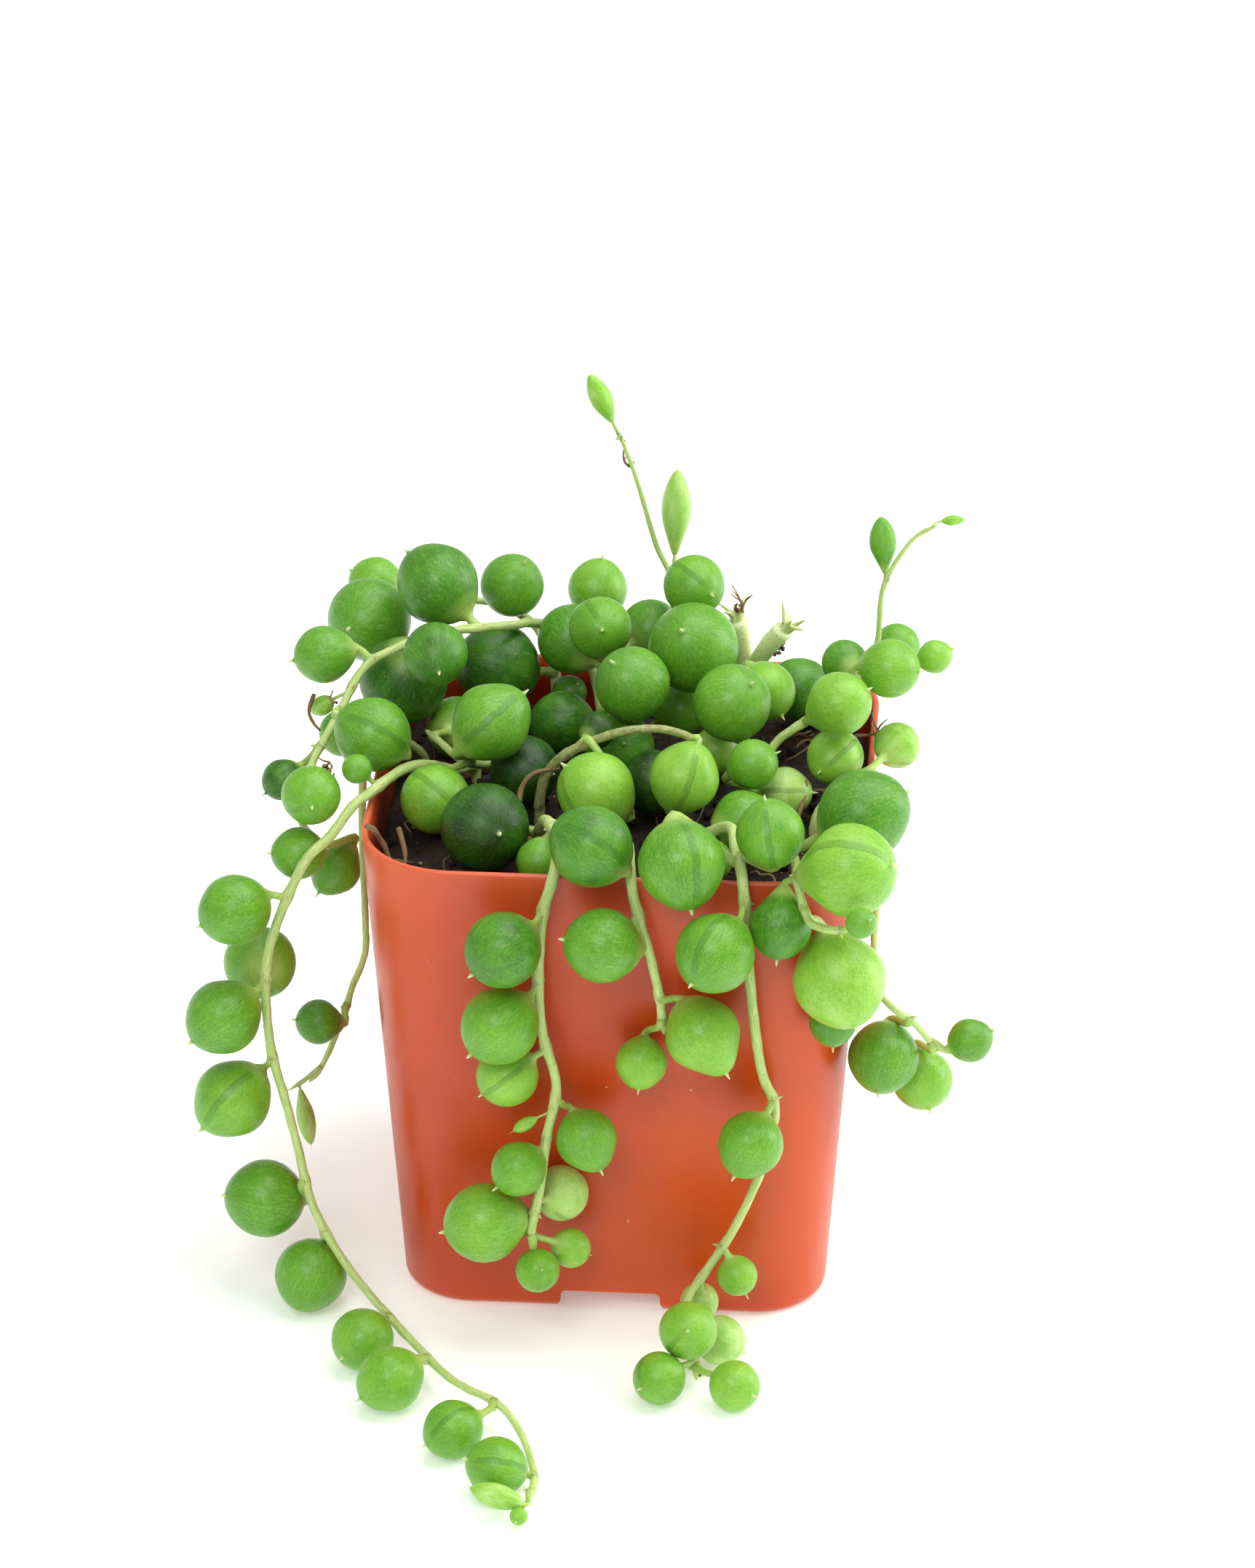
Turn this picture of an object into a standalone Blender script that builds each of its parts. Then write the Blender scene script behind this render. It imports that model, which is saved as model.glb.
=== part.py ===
"""Potted string of pearls: a trailing succulent in a square nursery pot.

The pot, the soil, each strand's stem and the larger bead-shaped leaves are separate objects.
Smaller leaves stay joined to their stem by their stalk. Lengths in the tables are in
millimetres, from the middle of the pot's foot: +X right, +Y back, +Z up.
"""
import math

import bmesh
import bpy
import numpy as np
from mathutils import Vector

MM = 0.001

# Pot
POT_TOP = 57.0
POT_BOTTOM = 48.8
POT_HEIGHT = 58.6
POT_WALL = 0.8
TOP_CORNER_RADIUS = 11.0
BOTTOM_CORNER_RADIUS = 8.0
FOOT_FILLET = 1.2
CHANNEL_WIDTH = 11.5
CHANNEL_HEIGHT = 2.6
DRAIN_DIAMETER = 6.0
DRAIN_INSET = 12.0

# Soil and fits
SOIL_DROP = 5.1
CLEARANCE = 0.3
LEAF_CLEARANCE = 0.4
FLOOR_CLEARANCE = 0.05

# Plant
STALK_DIAMETER = 0.8
STALK_LEAD = 1.5
STALK_BITE = 0.5
LEAF_TIP = 1.07
LEAF_BASE = 1.02
STEM_STEP = 3.0
STEM_TAPER = 0.55
ROOT_RISE = 1.2
BRANCH_SCALE = 0.55
LONG_LEAF_SLIM = 0.45

# The strands were laid out around a pot of this size, and follow the pot when it changes.
LAYOUT_TOP = 57.0
LAYOUT_HEIGHT = 58.6
CROWN_BASE = 50.0

# Fineness of the shapes and of the search for clear places
CORNER_SEGMENTS = 5
FILLET_SEGMENTS = 3
DRAIN_SEGMENTS = 16
STEM_SIDES = 5
STALK_SIDES = 4
LEAF_SUBDIVISIONS = 2
SHARP_ANGLE = math.radians(40)
SETTLE_ROUNDS = 120
SETTLED = 0.01
SEARCH_STEP = 0.6
SLOPE_STEP = 0.05
TINY = 1e-6

# Finishes: linear colour and roughness
POT_FINISH = ((0.55, 0.11, 0.04), 0.45)
SOIL_FINISH = ((0.03, 0.018, 0.012), 0.95)
STEM_FINISH = ((0.30, 0.42, 0.14), 0.5)
LEAF_FINISH = ((0.13, 0.36, 0.05), 0.4)

# Each strand: stem diameter, routes (the first one starts in the soil, the others branch off),
# leaves that are separate pieces, and leaves that stay joined to the stem. A leaf is its centre
# and its diameter, and a long leaf's length follows its width.
STRANDS = {
    "left_trail": {
        "diameter": 1.3,
        "routes": [[
            (-18, 5, 53.5), (-20, 1, 56.5), (-22.5, -3, 59), (-25, -7, 60.3), (-28, -13, 60.3),
            (-29.7, -15.5, 59.8), (-32, -17.5, 57), (-35, -19, 54), (-38.5, -20, 45.5),
            (-39.5, -20.5, 39), (-39, -21, 31), (-37.5, -22, 25.5), (-36, -23, 19.5),
            (-34, -25, 12.5), (-29.5, -28.5, 6.5), (-22, -38, 4), (-16, -46, 3.5),
            (-10.5, -50.5, 3.5), (-7.5, -55, 2.5), (-5.5, -61.5, 1.5), (-5.8, -66, 1)]],
        "leaves": [
            (-42.5, -22, 49.5, 8.1), (-44, -23.5, 36.5, 8.5), (-43.5, -22, 25, 8.8),
            (-40, -23, 12.5, 9), (-34.5, -26, 4.3, 8.3), (-23, -47, 4, 7.4),
            (-9.5, -63, 3.5, 6.7)],
        "joined": [
            (-41, -14, 38.5, 8.4), (-27, -39, 4, 7.1), (-15, -56, 3.5, 6.6),
            (-6.5, -69.5, 1.5, 2), (-29.5, -12.5, 63, 3.4), (-9, -68, 3, 2.8, 6)],
    },
    "left_rear": {
        "diameter": 1.1,
        "routes": [
            [(-24, 7, 53.5), (-26, 5, 58), (-28.5, 3, 60.2), (-30.3, 2, 57.5), (-30.7, 1, 50),
             (-30.5, 0, 37.5), (-30.5, -1, 33), (-32, -2, 29), (-33, -3, 25.5),
             (-35.5, -4, 19.5), (-37, -4.5, 17.5)],
            [(-35.5, -4, 19.5), (-37.5, -4.5, 17.8), (-39.5, -5, 16.5)]],
        "leaves": [],
        "joined": [(-33.5, 6.5, 58, 5.5), (-35.5, -6, 26.5, 5.3), (-37.5, -4.5, 12.5, 2.2, 7)],
    },
    "left_arch": {
        "diameter": 1.3,
        "routes": [[
            (-4.3, 19.5, 53.5), (-5, 22, 57.5), (-6.5, 25, 60), (-9.8, 25.8, 63),
            (-12.7, 21.2, 66), (-14.3, 17, 67.6), (-17.5, 12.5, 69.3), (-22, 8, 70.5),
            (-27.5, 5, 69.5), (-30.5, 3, 68), (-33, -1, 64), (-35, -5, 61),
            (-35.5, -8, 60), (-36.5, -10, 55.5), (-34, -11, 52)]],
        "leaves": [
            (-23, 15, 73.5, 9.5), (-22, 2.5, 70.5, 7.4), (-35, 3.5, 69.5, 6.7),
            (-28.5, -5, 63.7, 8.6)],
        "joined": [
            (-26.5, 8.7, 64, 10.3), (-39, -5, 57.5, 4.8), (-34.5, -14.5, 60.5, 6.7),
            (-36, -15.3, 53.5, 6), (-33, -6.5, 47, 5.9)],
    },
    "back_left": {
        "diameter": 1.2,
        "routes": [[
            (-10, 23, 53.5), (-10.5, 25, 59), (-13, 28, 62.5), (-17, 29, 64.5),
            (-21.5, 29, 65), (-27, 28, 65), (-29.5, 26, 65.5)]],
        "leaves": [(-31.5, 18.5, 67, 9.9)],
        "joined": [
            (-16.5, 18.5, 61.5, 10.1), (-15.1, 23.3, 69.8, 7.5), (-32, 29.5, 66.5, 6.5),
            (-5.5, 29, 67, 7.1), (-8.2, 20.6, 57.3, 4.2)],
    },
    "mid_left": {
        "diameter": 1.2,
        "routes": [[
            (-14.5, 5, 53.5), (-17, 0.5, 57.5), (-19, -2, 59.5), (-21.5, 1, 60),
            (-23.5, 4, 60)]],
        "leaves": [(-15, -4.5, 65.5, 8.9), (-21, -9.5, 58, 8)],
        "joined": [(-20.5, 10, 57.5, 7.3), (-11.5, -1.5, 58, 8.1)],
    },
    "centre": {
        "diameter": 1.2,
        "routes": [[
            (-2.5, 11.5, 53.5), (-3, 12, 57), (-4, 13, 60.5), (-4, 15, 62.5), (-3.5, 17, 63),
            (-2, 18.5, 64.5)]],
        "leaves": [(-4, 14, 69, 7.3), (0.5, 3.5, 67, 8.7)],
        "joined": [
            (-7.8, 20.2, 64.5, 8.3), (1.2, 23.5, 64.5, 7.2),
            (-8.3, 11.3, 58, 7.3), (-1, 4.5, 58.3, 8.1)],
    },
    "centre_arch": {
        "diameter": 1.3,
        "routes": [[
            (-9.5, -5, 53.5), (-9.5, -5.5, 56), (-8.5, -6, 60), (-5.5, -7, 63.5),
            (0, -8, 66.5), (5, -8, 67), (8.5, -7, 65), (10, -5, 60.5)]],
        "leaves": [(-2.5, -12, 61, 8.8), (7.5, -12, 63, 7.9)],
        "joined": [(3.5, -3.5, 58, 7.5), (-3.2, -1.8, 63.6, 4.3)],
    },
    "centre_right": {
        "diameter": 1.2,
        "routes": [
            [(13, 13, 53.5), (12.5, 13.5, 57.5), (10, 15.5, 61.5), (6.5, 18, 64.5),
             (5, 21, 66.5), (4, 23, 68), (3.5, 24.5, 70.5)],
            [(4, 23, 68), (3.5, 24.5, 71), (2.5, 25, 73), (1.5, 25, 75.5), (-0.5, 24, 83.5),
             (-2, 23, 88.5), (-3, 22, 91)],
            [(3.6, 24.2, 69.5), (3.9, 25.2, 71.5), (3.9, 25.8, 73.5)]],
        "leaves": [(6.5, 20, 72, 7.3), (7, 11.5, 68, 10.5)],
        "joined": [
            (15.5, 10, 63.5, 6.9), (19, 16, 61, 7.3), (4, 26, 79, 3.5, 9.5),
            (-4.5, 21.5, 94.8, 2.6, 6), (5.4, 14.2, 58.6, 6.2), (10.2, 6.4, 57.4, 5.8)],
    },
    "cut_stubs": {
        "diameter": 1.4,
        "routes": [
            [(13, 20.5, 53.5), (12.5, 22, 60), (11.5, 22.5, 66.5)],
            [(12.6, 21.8, 59), (14.5, 21, 63), (17, 20.5, 66.5)]],
        "leaves": [],
        "joined": [(20.3, 22.8, 57.3, 6.5)],
    },
    "right_crown": {
        "diameter": 1.2,
        "routes": [
            [(14, -3.5, 53.5), (14.5, -2.5, 57.5), (17, 0, 61.5), (19, 0, 63.5),
             (21.5, 1, 65), (25, 4, 67), (27.5, 6, 67.5), (31, 7, 68.5)],
            [(27.5, 6, 67.5), (28.3, 7.5, 70), (28.5, 8, 73), (29, 8, 78.5), (32, 7, 84.5),
             (35, 6, 87)]],
        "leaves": [
            (12, 2.5, 65.5, 9), (24.5, -3, 68.5, 7.3), (24, -0.5, 60.5, 6.6),
            (30, 1.5, 71, 6.8)],
        "joined": [
            (24.5, 12, 66.5, 5.4), (30.5, 11.5, 69, 5.4), (35, 6, 70.5, 3.9),
            (15, -8, 63, 5.7), (18.5, -4, 57.5, 5.9), (28.7, 8.6, 83.5, 3.1, 6),
            (36.6, 5.6, 87.8, 1.2, 2.6)],
    },
    "right_front": {
        "diameter": 1.3,
        "routes": [[
            (18, -12, 53.5), (19, -16, 57.5), (20.5, -24, 59.6), (21, -29.5, 60.2),
            (21.5, -31.5, 59), (22.5, -33.7, 57), (24.5, -36, 57.2), (26.5, -37.5, 58),
            (27.5, -38, 58.8)]],
        "leaves": [
            (28, -21.5, 64, 10.1), (27, -33, 63, 10.3), (26, -31.5, 48.5, 10.4)],
        "joined": [(19.4, -32.3, 55.3, 7), (28.5, -40.5, 60.5, 3.4)],
    },
    "right_rear": {
        "diameter": 1.1,
        "routes": [[
            (22, -6.5, 53.5), (23, -5.5, 57), (26, -4.5, 59.7), (28.5, -4, 60.3),
            (30, -4.8, 57.5), (29.6, -9, 51), (29.3, -14.5, 44.5), (29.8, -19.5, 41.3),
            (32, -21.8, 39.6), (34, -21.5, 38), (37, -21, 34)]],
        "leaves": [(30.8, -21, 33, 8.1)],
        "joined": [
            (35.2, -17, 28, 7), (31, 2, 61, 5.4), (40.5, -20, 35, 5), (25.2, -27.7, 41, 5.3)],
    },
    "front_left": {
        "diameter": 1.5,
        "routes": [[
            (-9, -12.5, 53.5), (-8.5, -15, 57.5), (-7.5, -18, 60), (-5.5, -24, 60.5),
            (-5.5, -28, 60.3), (-6, -30.3, 58.5), (-7, -30.5, 54.5), (-7.5, -30.5, 46.5),
            (-7, -30.5, 39.5), (-5.5, -31, 33.5), (-6.5, -32.5, 27.5), (-7.2, -33.6, 21.5),
            (-8.2, -33.2, 16), (-8.5, -31.5, 13.5)]],
        "leaves": [
            (-14.5, -18, 59, 10), (-1.5, -30.5, 63.5, 9.1), (-11, -34.7, 52.5, 8.5),
            (-11.5, -34, 42.5, 8.7), (-2, -32.5, 27.5, 6.9), (-13.5, -34, 17, 9)],
        "joined": [
            (-11, -31, 34.5, 7), (-9.5, -34.5, 24.5, 6.2), (-5.2, -29.3, 18.5, 6.4),
            (-7.5, -34, 11, 5), (-4, -30.5, 12, 4.6), (-8, -22, 57, 5.3)],
    },
    "front_middle": {
        "diameter": 1.5,
        "routes": [[
            (0, -15.5, 53.5), (0.5, -17.5, 57.5), (2, -24, 60.5), (2.5, -28, 60.3),
            (3, -30.4, 58), (4, -31, 54), (5, -30.5, 50), (6, -30.5, 45), (6.5, -30, 40)]],
        "leaves": [(0, -34.7, 53.5, 8.3), (11, -32.5, 41.5, 8.4)],
        "joined": [(4, -30.5, 36.5, 5.8)],
    },
    "front_right": {
        "diameter": 1.4,
        "routes": [[
            (8.5, -15.5, 53.5), (10, -15.5, 57.5), (13, -18, 60), (14, -24, 60.3),
            (14.7, -28, 60.5), (15.2, -30.3, 59), (15.5, -30.5, 55.5), (16, -30.5, 48.5),
            (16.5, -30, 42.5), (17.5, -30, 35.5), (19, -30, 31), (18, -29.5, 25),
            (17, -29.5, 21), (14.5, -30, 15), (11.5, -31, 10), (9.5, -33, 7),
            (10.5, -38, 3.5), (11, -40, 1)]],
        "leaves": [
            (8.5, -32, 62.5, 9.6), (18, -28, 64.5, 7.6), (12.5, -36.5, 54, 8.8),
            (16.5, -34, 28.5, 7.4)],
        "joined": [
            (14.2, -12.5, 58, 7.1), (11, -19.5, 56.5, 4.9), (15, -31, 9.5, 4.6),
            (10.6, -29, 4.6, 4.4), (10, -39.8, 7.4, 6.6), (13.3, -34.5, 3, 5.7),
            (7, -43.5, 3.3, 6), (15.5, -44, 3, 5.8)],
    },
    "back_trail": {
        "diameter": 1.3,
        "routes": [[
            (8, 20, 53.5), (8, 23, 58), (8, 27, 60.2), (8, 29, 60), (8.3, 30.6, 57),
            (8.5, 30.4, 50), (8, 30.2, 42), (9, 30, 34), (10, 30, 27)]],
        "leaves": [(13, 33.5, 51, 8)],
        "joined": [
            (3.5, 33, 55, 7.5), (3.5, 33, 44.5, 7), (13.5, 33, 40.5, 6.5), (5.5, 32.5, 34, 6),
            (13, 32, 30.5, 5), (10, 32.5, 23, 4.4)],
    },
}


# --- Pot sizes ------------------------------------------------------------------------------

def lerp(a, b, t):
    return a + (b - a) * t


def pot_half(z):
    """Half the pot's outside width at a height."""
    return lerp(POT_BOTTOM, POT_TOP, z / POT_HEIGHT) / 2


def corner_radius(z):
    return lerp(BOTTOM_CORNER_RADIUS, TOP_CORNER_RADIUS, z / POT_HEIGHT)


SOIL_TOP = POT_HEIGHT - SOIL_DROP
RIDGE_TOP = CHANNEL_HEIGHT + POT_WALL
RIDGE_WIDTH = CHANNEL_WIDTH + 2 * POT_WALL


# --- Objects --------------------------------------------------------------------------------

def clear_scene():
    for obj in list(bpy.data.objects):
        bpy.data.objects.remove(obj, do_unlink=True)


def make_material(name, finish):
    colour, roughness = finish
    material = bpy.data.materials.new(name)
    material.use_nodes = True
    shader = material.node_tree.nodes["Principled BSDF"]
    shader.inputs["Base Color"].default_value = (*colour, 1.0)
    shader.inputs["Roughness"].default_value = roughness
    shader.inputs["Metallic"].default_value = 0.0
    material.diffuse_color = (*colour, 1.0)
    return material


def new_object(name, bm, parent=None):
    """Turn a bmesh in millimetres into an object in metres."""
    bmesh.ops.recalc_face_normals(bm, faces=bm.faces)
    bmesh.ops.scale(bm, vec=(MM, MM, MM), verts=bm.verts)
    mesh = bpy.data.meshes.new(name)
    bm.to_mesh(mesh)
    bm.free()
    mesh.shade_smooth()
    mesh.set_sharp_from_angle(angle=SHARP_ANGLE)
    obj = bpy.data.objects.new(name, mesh)
    obj.parent = parent
    bpy.context.scene.collection.objects.link(obj)
    return obj


def hide_tool(obj):
    obj.hide_render = True
    obj.display_type = "WIRE"
    return obj


def add_boolean(obj, tool, operation):
    modifier = obj.modifiers.new(tool.name, "BOOLEAN")
    modifier.operation = operation
    modifier.solver = "EXACT"
    modifier.object = tool


# --- Pot and soil ---------------------------------------------------------------------------

def rounded_square(half, radius, z):
    """One ring of points around a square with round corners."""
    ring = []
    for quarter in range(4):
        turn = quarter * math.pi / 2
        sign_x = 1 if quarter in (0, 3) else -1
        sign_y = 1 if quarter in (0, 1) else -1
        for step in range(CORNER_SEGMENTS + 1):
            angle = turn + step / CORNER_SEGMENTS * math.pi / 2
            ring.append((sign_x * (half - radius) + radius * math.cos(angle),
                         sign_y * (half - radius) + radius * math.sin(angle), z))
    return ring


def closed_loft(name, rings, parent):
    """A solid skinned over rings of equal length, with a flat face at each end."""
    bm = bmesh.new()
    loops = [[bm.verts.new(point) for point in ring] for ring in rings]
    for lower, upper in zip(loops, loops[1:]):
        for i in range(len(lower)):
            j = (i + 1) % len(lower)
            bm.faces.new((lower[i], lower[j], upper[j], upper[i]))
    bm.faces.new(loops[0][::-1])
    bm.faces.new(loops[-1])
    return new_object(name, bm, parent)


def block(name, size_x, size_y, z_low, z_high, parent):
    bm = bmesh.new()
    bmesh.ops.create_cube(bm, size=1.0)
    bmesh.ops.scale(bm, vec=(size_x, size_y, z_high - z_low), verts=bm.verts)
    bmesh.ops.translate(bm, vec=(0, 0, (z_low + z_high) / 2), verts=bm.verts)
    return hide_tool(new_object(name, bm, parent))


def cross_blocks(name, length, width, z_low, z_high, parent):
    """Two crossing bars, one along X and one along Y."""
    return [block(name + "_x", length, width, z_low, z_high, parent),
            block(name + "_y", width, length, z_low, z_high, parent)]


def make_pot(parent):
    rings = []
    for step in range(FILLET_SEGMENTS + 1):
        angle = step / FILLET_SEGMENTS * math.pi / 2
        z = FOOT_FILLET * (1 - math.cos(angle))
        inset = FOOT_FILLET * (1 - math.sin(angle))
        rings.append(rounded_square(pot_half(z) - inset, corner_radius(z) - inset, z))
    rings.append(rounded_square(pot_half(POT_HEIGHT), corner_radius(POT_HEIGHT), POT_HEIGHT))
    for z in (POT_HEIGHT, POT_WALL):
        rings.append(rounded_square(pot_half(z) - POT_WALL, corner_radius(z) - POT_WALL, z))
    pot = closed_loft("pot", rings, parent)
    for ridge in cross_blocks("pot_ridge", POT_BOTTOM - POT_WALL, RIDGE_WIDTH,
                              POT_WALL / 2, RIDGE_TOP, parent):
        add_boolean(pot, ridge, "UNION")
    for channel in cross_blocks("pot_channel", POT_TOP + POT_BOTTOM, CHANNEL_WIDTH,
                                -CHANNEL_HEIGHT, CHANNEL_HEIGHT, parent):
        add_boolean(pot, channel, "DIFFERENCE")
    drain_from_middle = POT_BOTTOM / 2 - DRAIN_INSET
    for side_x in (-1, 1):
        for side_y in (-1, 1):
            bm = bmesh.new()
            bmesh.ops.create_cone(bm, cap_ends=True, segments=DRAIN_SEGMENTS,
                                  radius1=DRAIN_DIAMETER / 2, radius2=DRAIN_DIAMETER / 2,
                                  depth=4 * POT_WALL)
            bmesh.ops.translate(bm, vec=(side_x * drain_from_middle,
                                         side_y * drain_from_middle, 0), verts=bm.verts)
            drain = hide_tool(new_object(f"pot_drain_{side_x}_{side_y}", bm, parent))
            add_boolean(pot, drain, "DIFFERENCE")
    pot.data.materials.append(make_material("pot_plastic", POT_FINISH))


def make_soil(parent):
    inset = POT_WALL + CLEARANCE
    rings = [rounded_square(pot_half(z) - inset, corner_radius(z) - inset, z)
             for z in (POT_WALL + CLEARANCE, SOIL_TOP)]
    soil = closed_loft("soil", rings, parent)
    for groove in cross_blocks("soil_groove", POT_TOP, RIDGE_WIDTH + 2 * CLEARANCE,
                               -POT_WALL, RIDGE_TOP + CLEARANCE, parent):
        add_boolean(soil, groove, "DIFFERENCE")
    soil.data.materials.append(make_material("peat_soil", SOIL_FINISH))


# --- Strands: where they run ----------------------------------------------------------------

def place(point):
    """Carry a layout point to the pot's real size."""
    x, y, z = point[:3]
    spread = POT_TOP / LAYOUT_TOP
    rise = POT_HEIGHT - LAYOUT_HEIGHT
    height = z + rise if z > CROWN_BASE else z * (CROWN_BASE + rise) / CROWN_BASE
    return np.array((x * spread, y * spread, height))


def smooth_route(points, step):
    """Points along a smooth curve through the route's own points."""
    guide = [2 * points[0] - points[1], *points, 2 * points[-1] - points[-2]]
    route = []
    for a, b, c, d in zip(guide, guide[1:], guide[2:], guide[3:]):
        pieces = max(1, round(float(np.linalg.norm(c - b)) / step))
        for piece in range(pieces):
            t = piece / pieces
            route.append(0.5 * (2 * b + (c - a) * t + (2 * a - 5 * b + 4 * c - d) * t * t
                                + (3 * b - a - 3 * c + d) * t ** 3))
    route.append(points[-1])
    return np.array(route)


def points_along(route, step):
    """Points along the straight pieces of a route, no further apart than the step."""
    points = []
    for a, b in zip(route, route[1:]):
        pieces = max(1, math.ceil(float(np.linalg.norm(b - a)) / step))
        points += [lerp(a, b, piece / pieces) for piece in range(pieces)]
    return np.array([*points, route[-1]])


def strand_routes(strand):
    """The strand's stem lines at the pot's size, rising straight from just above the soil."""
    routes = [[place(point) for point in route] for route in strand["routes"]]
    root = routes[0][0]
    root[2] = SOIL_TOP + CLEARANCE
    routes[0].insert(1, root + np.array((0.0, 0.0, ROOT_RISE)))
    return [smooth_route(route, STEM_STEP) for route in routes]


def outline_distance(point):
    """Level distance from a point to the pot's outside, negative inside the pot."""
    level = min(max(point[2], 0.0), POT_HEIGHT)
    half, radius = pot_half(level), corner_radius(level)
    qx, qy = abs(point[0]) - (half - radius), abs(point[1]) - (half - radius)
    return math.hypot(max(qx, 0), max(qy, 0)) + min(max(qx, qy), 0) - radius


def wall_distance(point):
    """Distance from a point to the pot's wall, negative inside the plastic."""
    across = abs(outline_distance(point) + POT_WALL / 2) - POT_WALL / 2
    above = point[2] - POT_HEIGHT
    return math.hypot(max(across, 0), max(above, 0)) + min(max(across, above), 0)


def push_off_pot(point, radius):
    """Move a leaf off the pot's wall, the soil and the surface that the pot stands on."""
    need = radius + LEAF_CLEARANCE
    distance = wall_distance(point)
    if distance < need:
        slope = np.array([wall_distance(point + SLOPE_STEP * axis) - distance
                          for axis in np.eye(3)])
        point = point + slope / (np.linalg.norm(slope) + TINY) * (need - distance)
    in_pot = outline_distance(point) < 0
    lowest = SOIL_TOP + need if in_pot else radius + FLOOR_CLEARANCE
    return np.array((point[0], point[1], max(point[2], lowest)))


def settle_leaves(centres, radii, stem_points, stem_radii):
    """Push leaves apart, and off the stems and the pot, until each one keeps its clearance."""
    for _ in range(SETTLE_ROUNDS):
        moved = False
        for i in range(len(centres)):
            for points, sizes in ((centres, radii), (stem_points, stem_radii)):
                away = centres[i] - points
                gaps = np.linalg.norm(away, axis=1)
                short = radii[i] + sizes + LEAF_CLEARANCE - gaps
                if points is centres:
                    short[i] = -1.0
                k = int(short.argmax())
                if short[k] > SETTLED:
                    share = 0.5 if points is centres else 1.0
                    push = away[k] / max(gaps[k], TINY) * short[k]
                    centres[i] = centres[i] + push * share
                    if points is centres:
                        centres[k] = centres[k] - push * share
                    moved = True
            centres[i] = push_off_pot(centres[i], radii[i])
        if not moved:
            break
    return centres


# --- Strands: solids ------------------------------------------------------------------------

def tube(name, points, radii, sides, parent):
    """A round tube along a route, with flat ends."""
    bm = bmesh.new()
    loops = []
    side = None
    for i, point in enumerate(points):
        ahead = Vector(points[min(i + 1, len(points) - 1)] - points[max(i - 1, 0)]).normalized()
        if side is None:
            side = ahead.orthogonal().normalized()
        side = (side - ahead * side.dot(ahead)).normalized()
        up = ahead.cross(side)
        angles = [2 * math.pi * k / sides for k in range(sides)]
        loops.append([bm.verts.new(Vector(point) + radii[i] * (side * math.cos(a)
                                                              + up * math.sin(a)))
                      for a in angles])
    for lower, upper in zip(loops, loops[1:]):
        for k in range(sides):
            n = (k + 1) % sides
            bm.faces.new((lower[k], lower[n], upper[n], upper[k]))
    bm.faces.new(loops[0][::-1])
    bm.faces.new(loops[-1])
    return new_object(name, bm, parent)


def leaf(name, centre, axis, width, length, parent):
    """A bead-shaped leaf with a small point at its tip, along its own axis."""
    bm = bmesh.new()
    bmesh.ops.create_icosphere(bm, subdivisions=LEAF_SUBDIVISIONS, radius=1.0)
    for vert in bm.verts:
        x, y, z = vert.co
        if length > width:
            narrow = 1 - LONG_LEAF_SLIM * (1 - math.sqrt(max(0.0, 1 - abs(z))))
            x *= narrow
            y *= narrow
        if abs(z) > 1 - TINY:
            z = LEAF_TIP if z > 0 else -LEAF_BASE
        vert.co = (x * width / 2, y * width / 2, z * length / 2)
    obj = new_object(name, bm, parent)
    obj.location = Vector(centre) * MM
    obj.rotation_euler = Vector(axis).to_track_quat("Z", "Y").to_euler()
    return obj


def stalk_start(routes, centre):
    """The point where a leaf's stalk leaves its stem, a little before the nearest point."""
    routes = [points_along(route, SEARCH_STEP) for route in routes]
    points = np.vstack(routes)
    nearest = int(np.linalg.norm(points - centre, axis=1).argmin())
    first = 0
    for route in routes:
        if nearest < first + len(route):
            break
        first += len(route)
    start = nearest
    while start > first and np.linalg.norm(points[start] - points[nearest]) < STALK_LEAD:
        start -= 1
    return points[start]


def make_strand(name, strand, centres, parent):
    radius = strand["diameter"] / 2
    routes = strand_routes(strand)
    stems = []
    for number, route in enumerate(routes):
        widths = [radius * lerp(1.0, STEM_TAPER, i / (len(route) - 1))
                  for i in range(len(route))]
        if number:
            widths = [width * BRANCH_SCALE for width in widths]
        stems.append(tube(f"stem_{name}" if number == 0 else f"branch_{name}_{number}",
                          route, widths, STEM_SIDES, parent))
    stem = stems[0]
    for branch in stems[1:]:
        add_boolean(stem, hide_tool(branch), "UNION")
    rows = strand["leaves"] + strand["joined"]
    for number, (row, centre) in enumerate(zip(rows, centres), start=1):
        width = row[3]
        length = row[4] if len(row) > 4 else width
        start = stalk_start(routes, centre)
        axis = (centre - start) / np.linalg.norm(centre - start)
        base = centre - axis * length / 2 * LEAF_BASE
        separate = number <= len(strand["leaves"])
        end = base - axis * CLEARANCE if separate else base + axis * STALK_BITE
        stalk = tube(f"stalk_{name}_{number}", np.array([start, end]),
                     [STALK_DIAMETER / 2] * 2, STALK_SIDES, parent)
        add_boolean(stem, hide_tool(stalk), "UNION")
        pearl = leaf(f"pearl_{name}_{number}" if separate else f"bead_{name}_{number}",
                     centre, axis, width, length, parent)
        if separate:
            pearl.data.materials.append(make_material(f"{pearl.name}_green", LEAF_FINISH))
        else:
            add_boolean(stem, hide_tool(pearl), "UNION")
    stem.data.materials.append(make_material(f"{stem.name}_green", STEM_FINISH))


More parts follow.
